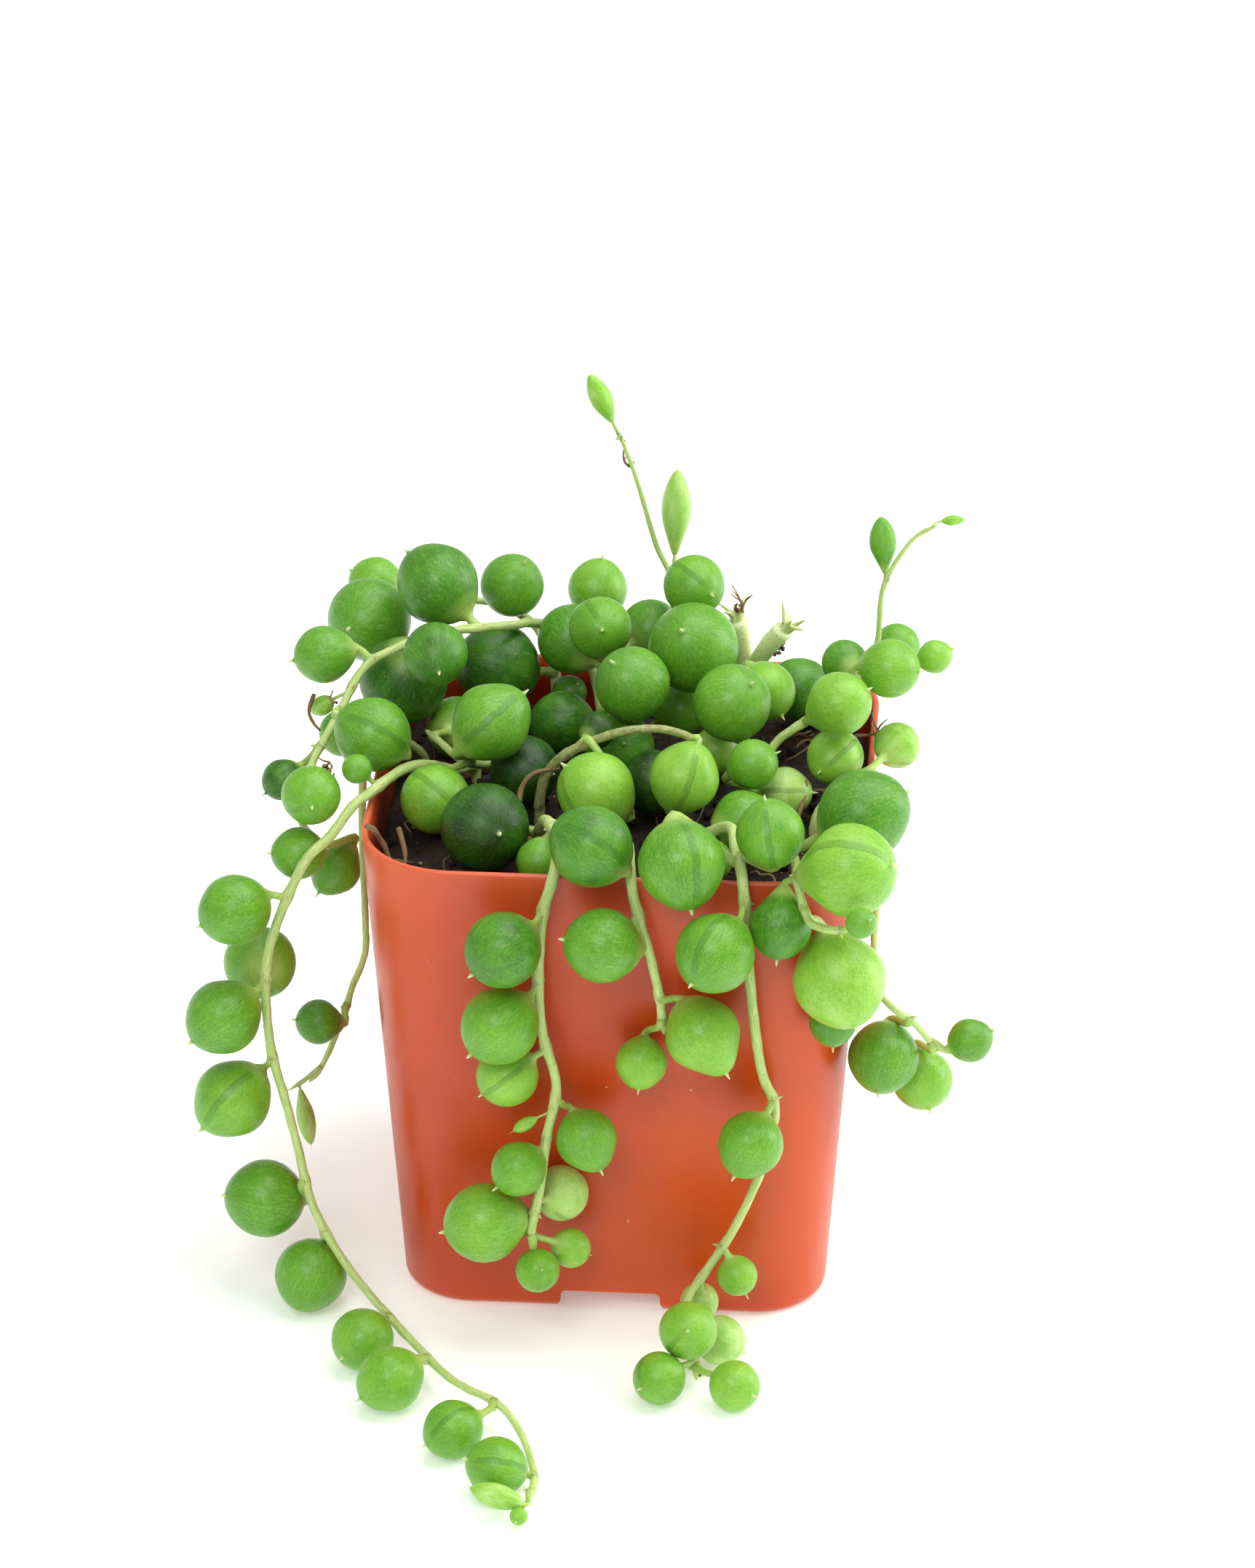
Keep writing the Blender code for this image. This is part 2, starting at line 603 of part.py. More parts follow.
def make_plant(parent):
    rows, owners, stem_points, stem_radii = [], [], [], []
    for name, strand in STRANDS.items():
        for row in strand["leaves"] + strand["joined"]:
            rows.append(row)
            owners.append(name)
        for route in strand_routes(strand):
            points = points_along(route, SEARCH_STEP)
            stem_points.append(points)
            stem_radii.append(np.full(len(points), strand["diameter"] / 2))
    radii = np.array([row[3] / 2 for row in rows])
    centres = settle_leaves(np.array([place(row) for row in rows]), radii,
                            np.vstack(stem_points), np.concatenate(stem_radii))
    for name, strand in STRANDS.items():
        own = [centre for centre, owner in zip(centres, owners) if owner == name]
        make_strand(name, strand, own, parent)


def centre_on_footprint(root):
    """Put the origin under the middle of the whole plant, on the surface it stands on."""
    bpy.context.view_layer.update()
    graph = bpy.context.evaluated_depsgraph_get()
    corners = []
    for obj in bpy.data.objects:
        if obj.type == "MESH" and not obj.hide_render:
            shape = obj.evaluated_get(graph)
            corners += [obj.matrix_world @ vert.co for vert in shape.data.vertices]
    low = [min(corner[axis] for corner in corners) for axis in range(3)]
    high = [max(corner[axis] for corner in corners) for axis in range(3)]
    root.location = (-(low[0] + high[0]) / 2, -(low[1] + high[1]) / 2, -low[2])


def main():
    clear_scene()
    root = bpy.data.objects.new("plant_origin", None)
    bpy.context.scene.collection.objects.link(root)
    make_pot(root)
    make_soil(root)
    make_plant(root)
    centre_on_footprint(root)


main()
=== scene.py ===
"""Looks for the potted string of pearls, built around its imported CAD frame.

Every piece is modelled in millimetres from the middle of the pot's foot (+X right, +Y back,
+Z up), and put in the row frame by the place of the CAD pot.
"""
import math
import random

import bmesh
import bpy
import numpy as np
from mathutils import Matrix, Quaternion, Vector, noise


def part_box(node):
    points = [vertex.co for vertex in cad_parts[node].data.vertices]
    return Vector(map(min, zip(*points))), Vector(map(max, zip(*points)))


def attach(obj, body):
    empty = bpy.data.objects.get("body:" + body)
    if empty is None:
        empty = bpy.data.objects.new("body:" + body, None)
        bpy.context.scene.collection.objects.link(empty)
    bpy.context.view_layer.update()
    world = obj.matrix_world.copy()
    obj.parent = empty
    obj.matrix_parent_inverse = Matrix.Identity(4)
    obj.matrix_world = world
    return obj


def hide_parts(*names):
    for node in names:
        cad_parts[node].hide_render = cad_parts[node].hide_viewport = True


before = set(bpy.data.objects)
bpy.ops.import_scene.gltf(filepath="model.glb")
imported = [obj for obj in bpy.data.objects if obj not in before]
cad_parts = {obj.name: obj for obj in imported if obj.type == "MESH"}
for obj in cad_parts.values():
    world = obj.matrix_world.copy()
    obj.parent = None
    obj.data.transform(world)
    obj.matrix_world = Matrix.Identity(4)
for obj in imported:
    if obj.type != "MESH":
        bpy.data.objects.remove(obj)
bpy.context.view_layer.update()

MM = 0.001

# --- Places and sizes, from the frame ---------------------------------------------------------

pot_low, pot_high = (np.array(corner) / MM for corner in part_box("pot"))
FOOT_CENTRE = Vector(((pot_low[0] + pot_high[0]) / 2, (pot_low[1] + pot_high[1]) / 2, 0.0)) * MM
POT_TOP = pot_high[0] - pot_low[0]
POT_HEIGHT = pot_high[2]
SOIL_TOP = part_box("soil")[1][2] / MM

# The sizes of the pot that its box doesn't tell
POT_BOTTOM = 48.8
POT_WALL = 0.8
TOP_CORNER_RADIUS = 11.0
BOTTOM_CORNER_RADIUS = 8.0
FOOT_FILLET = 1.5
CHANNEL_WIDTH = 11.5
CHANNEL_HEIGHT = 2.6
DRAIN_DIAMETER = 6.0
DRAIN_INSET = 12.0
CLEARANCE = 0.3

# The same strands as the CAD: stem diameter, routes, leaves that are separate nodes, and leaves
# that belong to the stem's node. A leaf is its centre, its diameter and, if long, its length.
STRANDS = {
    "left_trail": (1.3, [
        [(-18, 5, 53.5), (-20, 1, 56.5), (-22.5, -3, 59), (-25, -7, 60.3), (-28, -13, 60.3),
         (-29.7, -15.5, 59.8), (-32, -17.5, 57), (-35, -19, 54), (-38.5, -20, 45.5),
         (-39.5, -20.5, 39), (-39, -21, 31), (-37.5, -22, 25.5), (-36, -23, 19.5),
         (-34, -25, 12.5), (-29.5, -28.5, 6.5), (-22, -38, 4), (-16, -46, 3.5),
         (-10.5, -50.5, 3.5), (-7.5, -55, 2.5), (-5.5, -61.5, 1.5), (-5.8, -66, 1)]],
        [(-42.5, -22, 49.5, 8.1), (-44, -23.5, 36.5, 8.5), (-43.5, -22, 25, 8.8),
         (-40, -23, 12.5, 9), (-34.5, -26, 4.3, 8.3), (-23, -47, 4, 7.4),
         (-9.5, -63, 3.5, 6.7)],
        [(-41, -14, 38.5, 8.4), (-27, -39, 4, 7.1), (-15, -56, 3.5, 6.6),
         (-6.5, -69.5, 1.5, 2), (-29.5, -12.5, 63, 3.4), (-9, -68, 3, 2.8, 6)]),
    "left_rear": (1.1, [
        [(-24, 7, 53.5), (-26, 5, 58), (-28.5, 3, 60.2), (-30.3, 2, 57.5), (-30.7, 1, 50),
         (-30.5, 0, 37.5), (-30.5, -1, 33), (-32, -2, 29), (-33, -3, 25.5), (-35.5, -4, 19.5),
         (-37, -4.5, 17.5)],
        [(-35.5, -4, 19.5), (-37.5, -4.5, 17.8), (-39.5, -5, 16.5)]],
        [],
        [(-33.5, 6.5, 58, 5.5), (-35.5, -6, 26.5, 5.3), (-37.5, -4.5, 12.5, 2.2, 7)]),
    "left_arch": (1.3, [
        [(-4.3, 19.5, 53.5), (-5, 22, 57.5), (-6.5, 25, 60), (-9.8, 25.8, 63),
         (-12.7, 21.2, 66), (-14.3, 17, 67.6), (-17.5, 12.5, 69.3), (-22, 8, 70.5),
         (-27.5, 5, 69.5), (-30.5, 3, 68), (-33, -1, 64), (-35, -5, 61), (-35.5, -8, 60),
         (-36.5, -10, 55.5), (-34, -11, 52)]],
        [(-23, 15, 73.5, 9.5), (-22, 2.5, 70.5, 7.4), (-35, 3.5, 69.5, 6.7),
         (-28.5, -5, 63.7, 8.6)],
        [(-26.5, 8.7, 64, 10.3), (-39, -5, 57.5, 4.8), (-34.5, -14.5, 60.5, 6.7),
         (-36, -15.3, 53.5, 6), (-33, -6.5, 47, 5.9)]),
    "back_left": (1.2, [
        [(-10, 23, 53.5), (-10.5, 25, 59), (-13, 28, 62.5), (-17, 29, 64.5), (-21.5, 29, 65),
         (-27, 28, 65), (-29.5, 26, 65.5)]],
        [(-31.5, 18.5, 67, 9.9)],
        [(-16.5, 18.5, 61.5, 10.1), (-15.1, 23.3, 69.8, 7.5), (-32, 29.5, 66.5, 6.5),
         (-5.5, 29, 67, 7.1), (-8.2, 20.6, 57.3, 4.2)]),
    "mid_left": (1.2, [
        [(-14.5, 5, 53.5), (-17, 0.5, 57.5), (-19, -2, 59.5), (-21.5, 1, 60), (-23.5, 4, 60)]],
        [(-15, -4.5, 65.5, 8.9), (-21, -9.5, 58, 8)],
        [(-20.5, 10, 57.5, 7.3), (-11.5, -1.5, 58, 8.1)]),
    "centre": (1.2, [
        [(-2.5, 11.5, 53.5), (-3, 12, 57), (-4, 13, 60.5), (-4, 15, 62.5), (-3.5, 17, 63),
         (-2, 18.5, 64.5)]],
        [(-4, 14, 69, 7.3), (0.5, 3.5, 67, 8.7)],
        [(-7.8, 20.2, 64.5, 8.3), (1.2, 23.5, 64.5, 7.2), (-8.3, 11.3, 58, 7.3),
         (-1, 4.5, 58.3, 8.1)]),
    "centre_arch": (1.3, [
        [(-9.5, -5, 53.5), (-9.5, -5.5, 56), (-8.5, -6, 60), (-5.5, -7, 63.5), (0, -8, 66.5),
         (5, -8, 67), (8.5, -7, 65), (10, -5, 60.5)]],
        [(-2.5, -12, 61, 8.8), (7.5, -12, 63, 7.9)],
        [(3.5, -3.5, 58, 7.5), (-3.2, -1.8, 63.6, 4.3)]),
    "centre_right": (1.2, [
        [(13, 13, 53.5), (12.5, 13.5, 57.5), (10, 15.5, 61.5), (6.5, 18, 64.5), (5, 21, 66.5),
         (4, 23, 68), (3.5, 24.5, 70.5)],
        [(4, 23, 68), (3.5, 24.5, 71), (2.5, 25, 73), (1.5, 25, 75.5), (-0.5, 24, 83.5),
         (-2, 23, 88.5), (-3, 22, 91)],
        [(3.6, 24.2, 69.5), (3.9, 25.2, 71.5), (3.9, 25.8, 73.5)]],
        [(6.5, 20, 72, 7.3), (7, 11.5, 68, 10.5)],
        [(15.5, 10, 63.5, 6.9), (19, 16, 61, 7.3), (4, 26, 79, 3.5, 9.5),
         (-4.5, 21.5, 94.8, 2.6, 6), (5.4, 14.2, 58.6, 6.2), (10.2, 6.4, 57.4, 5.8)]),
    "cut_stubs": (1.4, [
        [(13, 20.5, 53.5), (12.5, 22, 60), (11.5, 22.5, 66.5)],
        [(12.6, 21.8, 59), (14.5, 21, 63), (17, 20.5, 66.5)]],
        [],
        [(20.3, 22.8, 57.3, 6.5)]),
    "right_crown": (1.2, [
        [(14, -3.5, 53.5), (14.5, -2.5, 57.5), (17, 0, 61.5), (19, 0, 63.5), (21.5, 1, 65),
         (25, 4, 67), (27.5, 6, 67.5), (31, 7, 68.5)],
        [(27.5, 6, 67.5), (28.3, 7.5, 70), (28.5, 8, 73), (29, 8, 78.5), (32, 7, 84.5),
         (35, 6, 87)]],
        [(12, 2.5, 65.5, 9), (24.5, -3, 68.5, 7.3), (24, -0.5, 60.5, 6.6), (30, 1.5, 71, 6.8)],
        [(24.5, 12, 66.5, 5.4), (30.5, 11.5, 69, 5.4), (35, 6, 70.5, 3.9), (15, -8, 63, 5.7),
         (18.5, -4, 57.5, 5.9), (28.7, 8.6, 83.5, 3.1, 6), (36.6, 5.6, 87.8, 1.2, 2.6)]),
    "right_front": (1.3, [
        [(18, -12, 53.5), (19, -16, 57.5), (20.5, -24, 59.6), (21, -29.5, 60.2),
         (21.5, -31.5, 59), (22.5, -33.7, 57), (24.5, -36, 57.2), (26.5, -37.5, 58),
         (27.5, -38, 58.8)]],
        [(28, -21.5, 64, 10.1), (27, -33, 63, 10.3), (26, -31.5, 48.5, 10.4)],
        [(19.4, -32.3, 55.3, 7), (28.5, -40.5, 60.5, 3.4)]),
    "right_rear": (1.1, [
        [(22, -6.5, 53.5), (23, -5.5, 57), (26, -4.5, 59.7), (28.5, -4, 60.3),
         (30, -4.8, 57.5), (29.6, -9, 51), (29.3, -14.5, 44.5), (29.8, -19.5, 41.3),
         (32, -21.8, 39.6), (34, -21.5, 38), (37, -21, 34)]],
        [(30.8, -21, 33, 8.1)],
        [(35.2, -17, 28, 7), (31, 2, 61, 5.4), (40.5, -20, 35, 5), (25.2, -27.7, 41, 5.3)]),
    "front_left": (1.5, [
        [(-9, -12.5, 53.5), (-8.5, -15, 57.5), (-7.5, -18, 60), (-5.5, -24, 60.5),
         (-5.5, -28, 60.3), (-6, -30.3, 58.5), (-7, -30.5, 54.5), (-7.5, -30.5, 46.5),
         (-7, -30.5, 39.5), (-5.5, -31, 33.5), (-6.5, -32.5, 27.5), (-7.2, -33.6, 21.5),
         (-8.2, -33.2, 16), (-8.5, -31.5, 13.5)]],
        [(-14.5, -18, 59, 10), (-1.5, -30.5, 63.5, 9.1), (-11, -34.7, 52.5, 8.5),
         (-11.5, -34, 42.5, 8.7), (-2, -32.5, 27.5, 6.9), (-13.5, -34, 17, 9)],
        [(-11, -31, 34.5, 7), (-9.5, -34.5, 24.5, 6.2), (-5.2, -29.3, 18.5, 6.4),
         (-7.5, -34, 11, 5), (-4, -30.5, 12, 4.6), (-8, -22, 57, 5.3)]),
    "front_middle": (1.5, [
        [(0, -15.5, 53.5), (0.5, -17.5, 57.5), (2, -24, 60.5), (2.5, -28, 60.3),
         (3, -30.4, 58), (4, -31, 54), (5, -30.5, 50), (6, -30.5, 45), (6.5, -30, 40)]],
        [(0, -34.7, 53.5, 8.3), (11, -32.5, 41.5, 8.4)],
        [(4, -30.5, 36.5, 5.8)]),
    "front_right": (1.4, [
        [(8.5, -15.5, 53.5), (10, -15.5, 57.5), (13, -18, 60), (14, -24, 60.3),
         (14.7, -28, 60.5), (15.2, -30.3, 59), (15.5, -30.5, 55.5), (16, -30.5, 48.5),
         (16.5, -30, 42.5), (17.5, -30, 35.5), (19, -30, 31), (18, -29.5, 25), (17, -29.5, 21),
         (14.5, -30, 15), (11.5, -31, 10), (9.5, -33, 7), (10.5, -38, 3.5), (11, -40, 1)]],
        [(8.5, -32, 62.5, 9.6), (18, -28, 64.5, 7.6), (12.5, -36.5, 54, 8.8),
         (16.5, -34, 28.5, 7.4)],
        [(14.2, -12.5, 58, 7.1), (11, -19.5, 56.5, 4.9), (15, -31, 9.5, 4.6),
         (10.6, -29, 4.6, 4.4), (10, -39.8, 7.4, 6.6), (13.3, -34.5, 3, 5.7),
         (7, -43.5, 3.3, 6), (15.5, -44, 3, 5.8)]),
    "back_trail": (1.3, [
        [(8, 20, 53.5), (8, 23, 58), (8, 27, 60.2), (8, 29, 60), (8.3, 30.6, 57),
         (8.5, 30.4, 50), (8, 30.2, 42), (9, 30, 34), (10, 30, 27)]],
        [(13, 33.5, 51, 8)],
        [(3.5, 33, 55, 7.5), (3.5, 33, 44.5, 7), (13.5, 33, 40.5, 6.5), (5.5, 32.5, 34, 6),
         (13, 32, 30.5, 5), (10, 32.5, 23, 4.4)]),
}

# How each leaf looks, in the table's order: the separate leaves, then the joined ones. Tone runs
# from 0, the deepest green, to 9, the palest. Besides each leaf's own green it holds painted shade
# and light: leaves that sit in shade deep in the crown were given deeper tones, well-lit ones
# paler.
# A stripe of 0 is turned away, and 1 to 9 turn it from one side of the leaf's front to the other.
TONES = {
    "left_trail": "4464565" "665758",
    "left_rear": "539",
    "left_arch": "2244" "11555",
    "back_left": "4" "14662",
    "mid_left": "46" "40",
    "centre": "54" "3313",
    "centre_arch": "77" "00",
    "centre_right": "54" "729858",
    "cut_stubs": "3",
    "right_crown": "5786" "3575958",
    "right_front": "378" "25",
    "right_rear": "4" "7833",
    "front_left": "022556" "759684",
    "front_middle": "47" "7",
    "front_right": "4545" "46797967",
    "back_trail": "5" "333259",
}
STRIPES = {
    "left_trail": "0060006" "007000",
    "left_arch": "0406" "06000",
    "mid_left": "54" "00",
    "centre": "50" "0000",
    "centre_arch": "26" "00",
    "centre_right": "40" "000000",
    "right_crown": "0050" "00005000",
    "right_front": "030" "00",
    "front_left": "560000" "5" "000000",
    "front_right": "4570" "00000000",
}
# Where a leaf's tip points, as shares of its radius to the right and upwards seen from the front;
# what is left points towards the viewer. Other tips point straight away from their stem.
TIPS = {
    "left_trail": {1: (-0.85, -0.4), 2: (-0.75, -0.6), 3: (-0.7, -0.7), 4: (-0.9, 0.1),
                   5: (-0.35, -0.85), 6: (-0.8, -0.5), 10: (-0.8, -0.4), 13: (-0.95, 0.3)},
    "left_rear": {2: (-0.9, 0.1)},
    "left_arch": {2: (0.12, -0.54), 3: (-0.97, -0.2), 4: (-0.82, 0.5), 6: (-0.75, -0.6),
                  8: (-0.9, 0.0), 9: (-0.55, -0.8)},
    "back_left": {3: (0.35, 0.6), 5: (0.15, 0.9)},
    "mid_left": {1: (0.75, 0.65), 2: (0.55, -0.3)},
    "centre": {1: (0.05, -0.1), 2: (-0.48, 0.5)},
    "centre_arch": {1: (-0.75, 0.6), 2: (0.35, 0.85)},
    "centre_right": {1: (0.5, -0.3), 3: (0.5, -0.8), 5: (0.03, 0.89), 6: (-0.4, 0.8)},
    "right_crown": {1: (0.45, 0.45), 2: (0.8, 0.4), 3: (-0.5, -0.45), 4: (0.9, -0.1),
                    7: (0.9, 0.4), 8: (0.85, 0.4), 10: (-0.08, 0.9), 11: (0.95, 0.05)},
    "right_front": {2: (0.85, 0.1), 3: (0.3, -0.9), 4: (-0.1, -0.97)},
    "right_rear": {1: (-0.15, -0.9), 2: (0.2, -0.9), 4: (0.9, 0.4), 5: (0.0, -0.95)},
    "front_left": {1: (0.33, -0.14), 2: (-0.8, 0.55), 3: (-0.75, -0.6), 4: (-0.7, -0.68),
                   5: (0.4, -0.85), 6: (-0.95, -0.2), 8: (-0.75, -0.62), 10: (0.2, 0.1)},
    "front_middle": {1: (-0.95, 0.15), 2: (0.5, -0.83), 3: (-0.1, -0.9)},
    "front_right": {1: (0.2, -0.95), 2: (-0.15, 0.9), 3: (-0.55, -0.7), 4: (-0.45, -0.85)},
}
# Leaves drawn out towards the tip or the stalk: (towards the tip, towards the stalk)
DRAWN_OUT = {
    ("mid_left", 1): (0.7, 0.8), ("front_middle", 2): (1.4, 0.6), ("right_front", 2): (0.0, 1.6),
    ("right_front", 3): (0.5, 0.9), ("right_front", 4): (0.3, 2.2), ("left_arch", 9): (0.8, 1.6),
    ("left_arch", 3): (0.3, 0.7), ("front_left", 5): (0.9, 0.2), ("front_left", 6): (0.2, 0.9),
    ("left_rear", 2): (0.2, 1.2), ("right_crown", 2): (0.2, 1.0), ("centre_arch", 2): (0.7, 0.6),
    ("front_left", 2): (0.5, 0.3), ("front_right", 1): (0.5, 0.3),
    ("centre_right", 5): (0.4, 1.8), ("centre_right", 6): (0.4, 1.2),
    ("right_crown", 10): (0.2, 2.2), ("left_rear", 3): (0.2, 1.4),
}
# Sprouts too small to be joined leaves in the CAD, drawn the same way
SPROUTS = {
    "front_left": [(-8.9, -32.6, 29.2, 1.5, 3.0)],
    "left_arch": [(-35.2, 2.6, 63.4, 2.3, 3.4)],
}

# Camera: a long lens, a little above the pot and slightly to its right
CAMERA_AZIMUTH = 4.24
CAMERA_ELEVATION = 26.8
CAMERA_DISTANCE = 676.0
CAMERA_TARGET = (0.2, 0.0, 55.9)
LENS = 135.0
SENSOR = 36.0

# Studio: the white world, and each light's place in metres, size and power
WORLD_STRENGTH = 0.45
LIGHTS = {"overhead": ((0.30, 0.10, 0.95), 1.1, 9.0), "front": ((-0.15, -0.75, 0.75), 0.45, 3.5),
          "side": ((0.55, 0.12, 0.22), 0.35, 1.6)}
LIGHT_TARGET = (0.0, 0.0, 0.04)
FLOOR_HALF = 3000.0

# Fineness
LEAF_SIDES = 36
LEAF_RINGS = 27
STEM_SIDES = 12
STEM_STEP = 0.7
CORNER_SEGMENTS = 14
ROUNDING_STEPS = 8
SIDE_LEVELS = 9
SOIL_RINGS = 34
DRAIN_SEGMENTS = 40

rng = random.Random(11)


# --- Node helpers -----------------------------------------------------------------------------

class Nodes:
    """A material's node tree, with short ways to add the nodes used here."""

    def __init__(self, name):
        self.material = bpy.data.materials.new(name)
        self.material.use_nodes = True
        self.tree = self.material.node_tree
        self.shader = self.tree.nodes["Principled BSDF"]

    def add(self, kind, inputs=None, **settings):
        node = self.tree.nodes.new(kind)
        for key, value in settings.items():
            setattr(node, key, value)
        for key, value in (inputs or {}).items():
            self.put(node.inputs[key], value)
        return node

    def put(self, socket, value):
        if isinstance(value, bpy.types.NodeSocket):
            self.tree.links.new(value, socket)
        else:
            socket.default_value = value

    def math(self, operation, a, b):
        return self.add("ShaderNodeMath", {0: a, 1: b}, operation=operation).outputs[0]

    def times(self, a, b):
        return self.math("MULTIPLY", a, b)

    def off_middle(self, value, amount):
        """A texture value moved to lie around 0, times an amount."""
        return self.times(self.math("SUBTRACT", value, 0.5), amount)

    def stretched(self, vector, factors):
        return self.add("ShaderNodeVectorMath", {0: vector, 1: factors},
                        operation="MULTIPLY").outputs[0]

    def attribute(self, name, output="Fac"):
        return self.add("ShaderNodeAttribute", attribute_name=name).outputs[output]

    def noise(self, vector, scale, detail=3.0, roughness=0.5):
        inputs = {"Vector": vector, "Scale": scale, "Detail": detail, "Roughness": roughness}
        return self.add("ShaderNodeTexNoise", inputs).outputs["Fac"]

    def ramp(self, value, *stops):
        """stops: (place, value) or (place, (r, g, b)), in linear colour."""
        node = self.add("ShaderNodeValToRGB", {"Fac": value})
        elements = node.color_ramp.elements
        while len(elements) < len(stops):
            elements.new(0.5)
        for element, (place, colour) in zip(elements, stops):
            element.position = place
            element.color = (*colour, 1.0) if isinstance(colour, tuple) else (colour,) * 3 + (1.0,)
        return node.outputs["Color"]

    def spots(self, point, scale, channel, least, *stops):
        """Round spots, in only the cells whose random colour has that much of a channel."""
        cells = self.add("ShaderNodeTexVoronoi", {"Vector": point, "Scale": scale}).outputs
        colour = self.add("ShaderNodeSeparateColor", {"Color": cells["Color"]}).outputs
        chosen = self.math("GREATER_THAN", colour[channel], least)
        return self.times(self.ramp(cells["Distance"], *stops), chosen)

    def mix(self, factor, a, b):
        node = self.add("ShaderNodeMix", data_type="RGBA")
        sockets = {socket.identifier: socket for socket in node.inputs}
        self.put(sockets["Factor_Float"], factor)
        for key, value in (("A_Color", a), ("B_Color", b)):
            self.put(sockets[key], (*value, 1.0) if isinstance(value, tuple) else value)
        return next(output for output in node.outputs if output.identifier == "Result_Color")

    def bump(self, height, strength, distance, normal=None):
        inputs = {"Height": height, "Strength": strength, "Distance": distance}
        if normal is not None:
            inputs["Normal"] = normal
        return self.add("ShaderNodeBump", inputs).outputs["Normal"]

    def finish(self, **inputs):
        for key, value in inputs.items():
            self.put(self.shader.inputs[key.replace("_", " ")], value)
        return self.material


def srgb(red, green, blue):
    """A linear colour from 8-bit sRGB values."""
    return tuple((c / 255 / 12.92) if c <= 10 else ((c / 255 + 0.055) / 1.055) ** 2.4
                 for c in (red, green, blue))


# --- Materials --------------------------------------------------------------------------------

def leaf_material():
    """Waxy leaf skin: a dark translucent window along one meridian, and fine pale streaks."""
    n = Nodes("leaf_skin")
    point, tone = n.attribute("leaf_point", "Vector"), n.attribute("tone")
    x, y, z = n.add("ShaderNodeSeparateXYZ", {"Vector": point}).outputs
    # The tone is partly painted shade and light, so the deepest stops carry the painted shade of
    # leaves in shade
    shade = n.math("ADD", tone, n.off_middle(n.noise(point, 1.6, 2.0), 0.35))
    skin = n.ramp(shade, (0.0, srgb(16, 46, 4)), (0.14, srgb(38, 90, 10)),
                  (0.3, srgb(72, 138, 22)), (0.6, srgb(104, 168, 34)),
                  (0.85, srgb(140, 196, 58)), (1.0, srgb(188, 222, 128)))

    # Fine streaks that run from stalk to tip, and a fine grain. The deepest leaves show little.
    level = n.add("ShaderNodeCombineXYZ", {0: x, 1: y, 2: 0.0}).outputs[0]
    around = n.add("ShaderNodeVectorMath", {0: level}, operation="NORMALIZE").outputs[0]
    around = n.add("ShaderNodeVectorMath", {0: around, "Scale": 15.0}, operation="SCALE").outputs[0]
    along = n.add("ShaderNodeCombineXYZ", {0: 0.0, 1: 0.0, 2: n.times(z, 2.2)}).outputs[0]
    streak_at = n.add("ShaderNodeVectorMath", {0: around, 1: along}, operation="ADD").outputs[0]
    streaks, grain = n.noise(streak_at, 1.7, 4.0, 0.65), n.noise(point, 15.0, 3.0, 0.7)
    paleness = n.ramp(tone, (0.1, 0.35), (0.4, 1.0))
    lit = n.times(n.ramp(streaks, (0.5, 0.0), (0.72, 0.34)), paleness)
    skin = n.mix(lit, skin, srgb(174, 214, 100))
    skin = n.mix(n.ramp(streaks, (0.28, 0.30), (0.46, 0.0)), skin, srgb(46, 98, 26))
    lit = n.times(n.ramp(grain, (0.52, 0.0), (0.72, 0.24)), paleness)
    skin = n.mix(lit, skin, srgb(186, 220, 120))
    skin = n.mix(n.ramp(grain, (0.30, 0.28), (0.48, 0.0)), skin, srgb(42, 92, 20))

    # The window: one soft edge and one sharp edge, narrowing towards both ends
    wobble = n.off_middle(n.noise(point, 3.0, 1.0), 0.06)
    across = n.math("ADD", n.math("ADD", y, wobble), 0.5)
    height = n.math("ADD", n.times(z, 0.5), 0.5)
    window = n.ramp(across, (0.30, 0.0), (0.37, 0.6), (0.49, 0.75), (0.51, 1.0), (0.525, 0.1),
                    (0.56, 0.0))
    window = n.times(window, n.ramp(x, (0.04, 0.0), (0.12, 1.0)))
    window = n.times(window, n.ramp(height, (0.02, 0.0), (0.12, 1.0), (0.97, 1.0), (1.0, 0.0)))
    window = n.times(window, n.attribute("window"))
    skin = n.mix(n.times(window, 0.50), skin, srgb(44, 98, 28))

    # Paler towards the stalk, a pale dry point at the tip, dust and tiny scars
    base = n.ramp(n.times(z, -1.0), (0.72, 0.0), (0.98, 0.55), (1.0, 0.85))
    skin = n.mix(base, skin, srgb(172, 198, 104))
    reach = n.add("ShaderNodeVectorMath", {0: level}, operation="LENGTH").outputs["Value"]
    at_tip = n.times(n.ramp(reach, (0.03, 1.0), (0.07, 0.0)), n.math("GREATER_THAN", z, 0.5))
    skin = n.mix(at_tip, skin, srgb(214, 218, 164))
    dust = n.spots(point, 7.0, 0, 0.80, (0.05, 0.55), (0.11, 0.0))
    skin = n.mix(dust, skin, srgb(206, 218, 176))
    scars = n.spots(point, 5.3, 1, 0.88, (0.03, 0.7), (0.07, 0.0))
    skin = n.mix(scars, skin, srgb(70, 60, 30))

    normal = n.bump(streaks, 0.25, 0.00009, n.bump(grain, 0.30, 0.00012))
    normal = n.bump(n.times(window, -1.0), 0.45, 0.00012, normal)
    gloss = n.ramp(n.noise(point, 5.0, 3.0), (0.3, 0.34), (0.7, 0.48))
    return n.finish(Base_Color=skin, Roughness=gloss, Normal=normal, IOR=1.45,
                    Subsurface_Weight=0.25, Subsurface_Radius=(0.0012, 0.0020, 0.0004),
                    Subsurface_Scale=1.0, Specular_IOR_Level=0.4, Coat_Roughness=0.28,
                    Coat_Weight=n.times(paleness, 0.3))


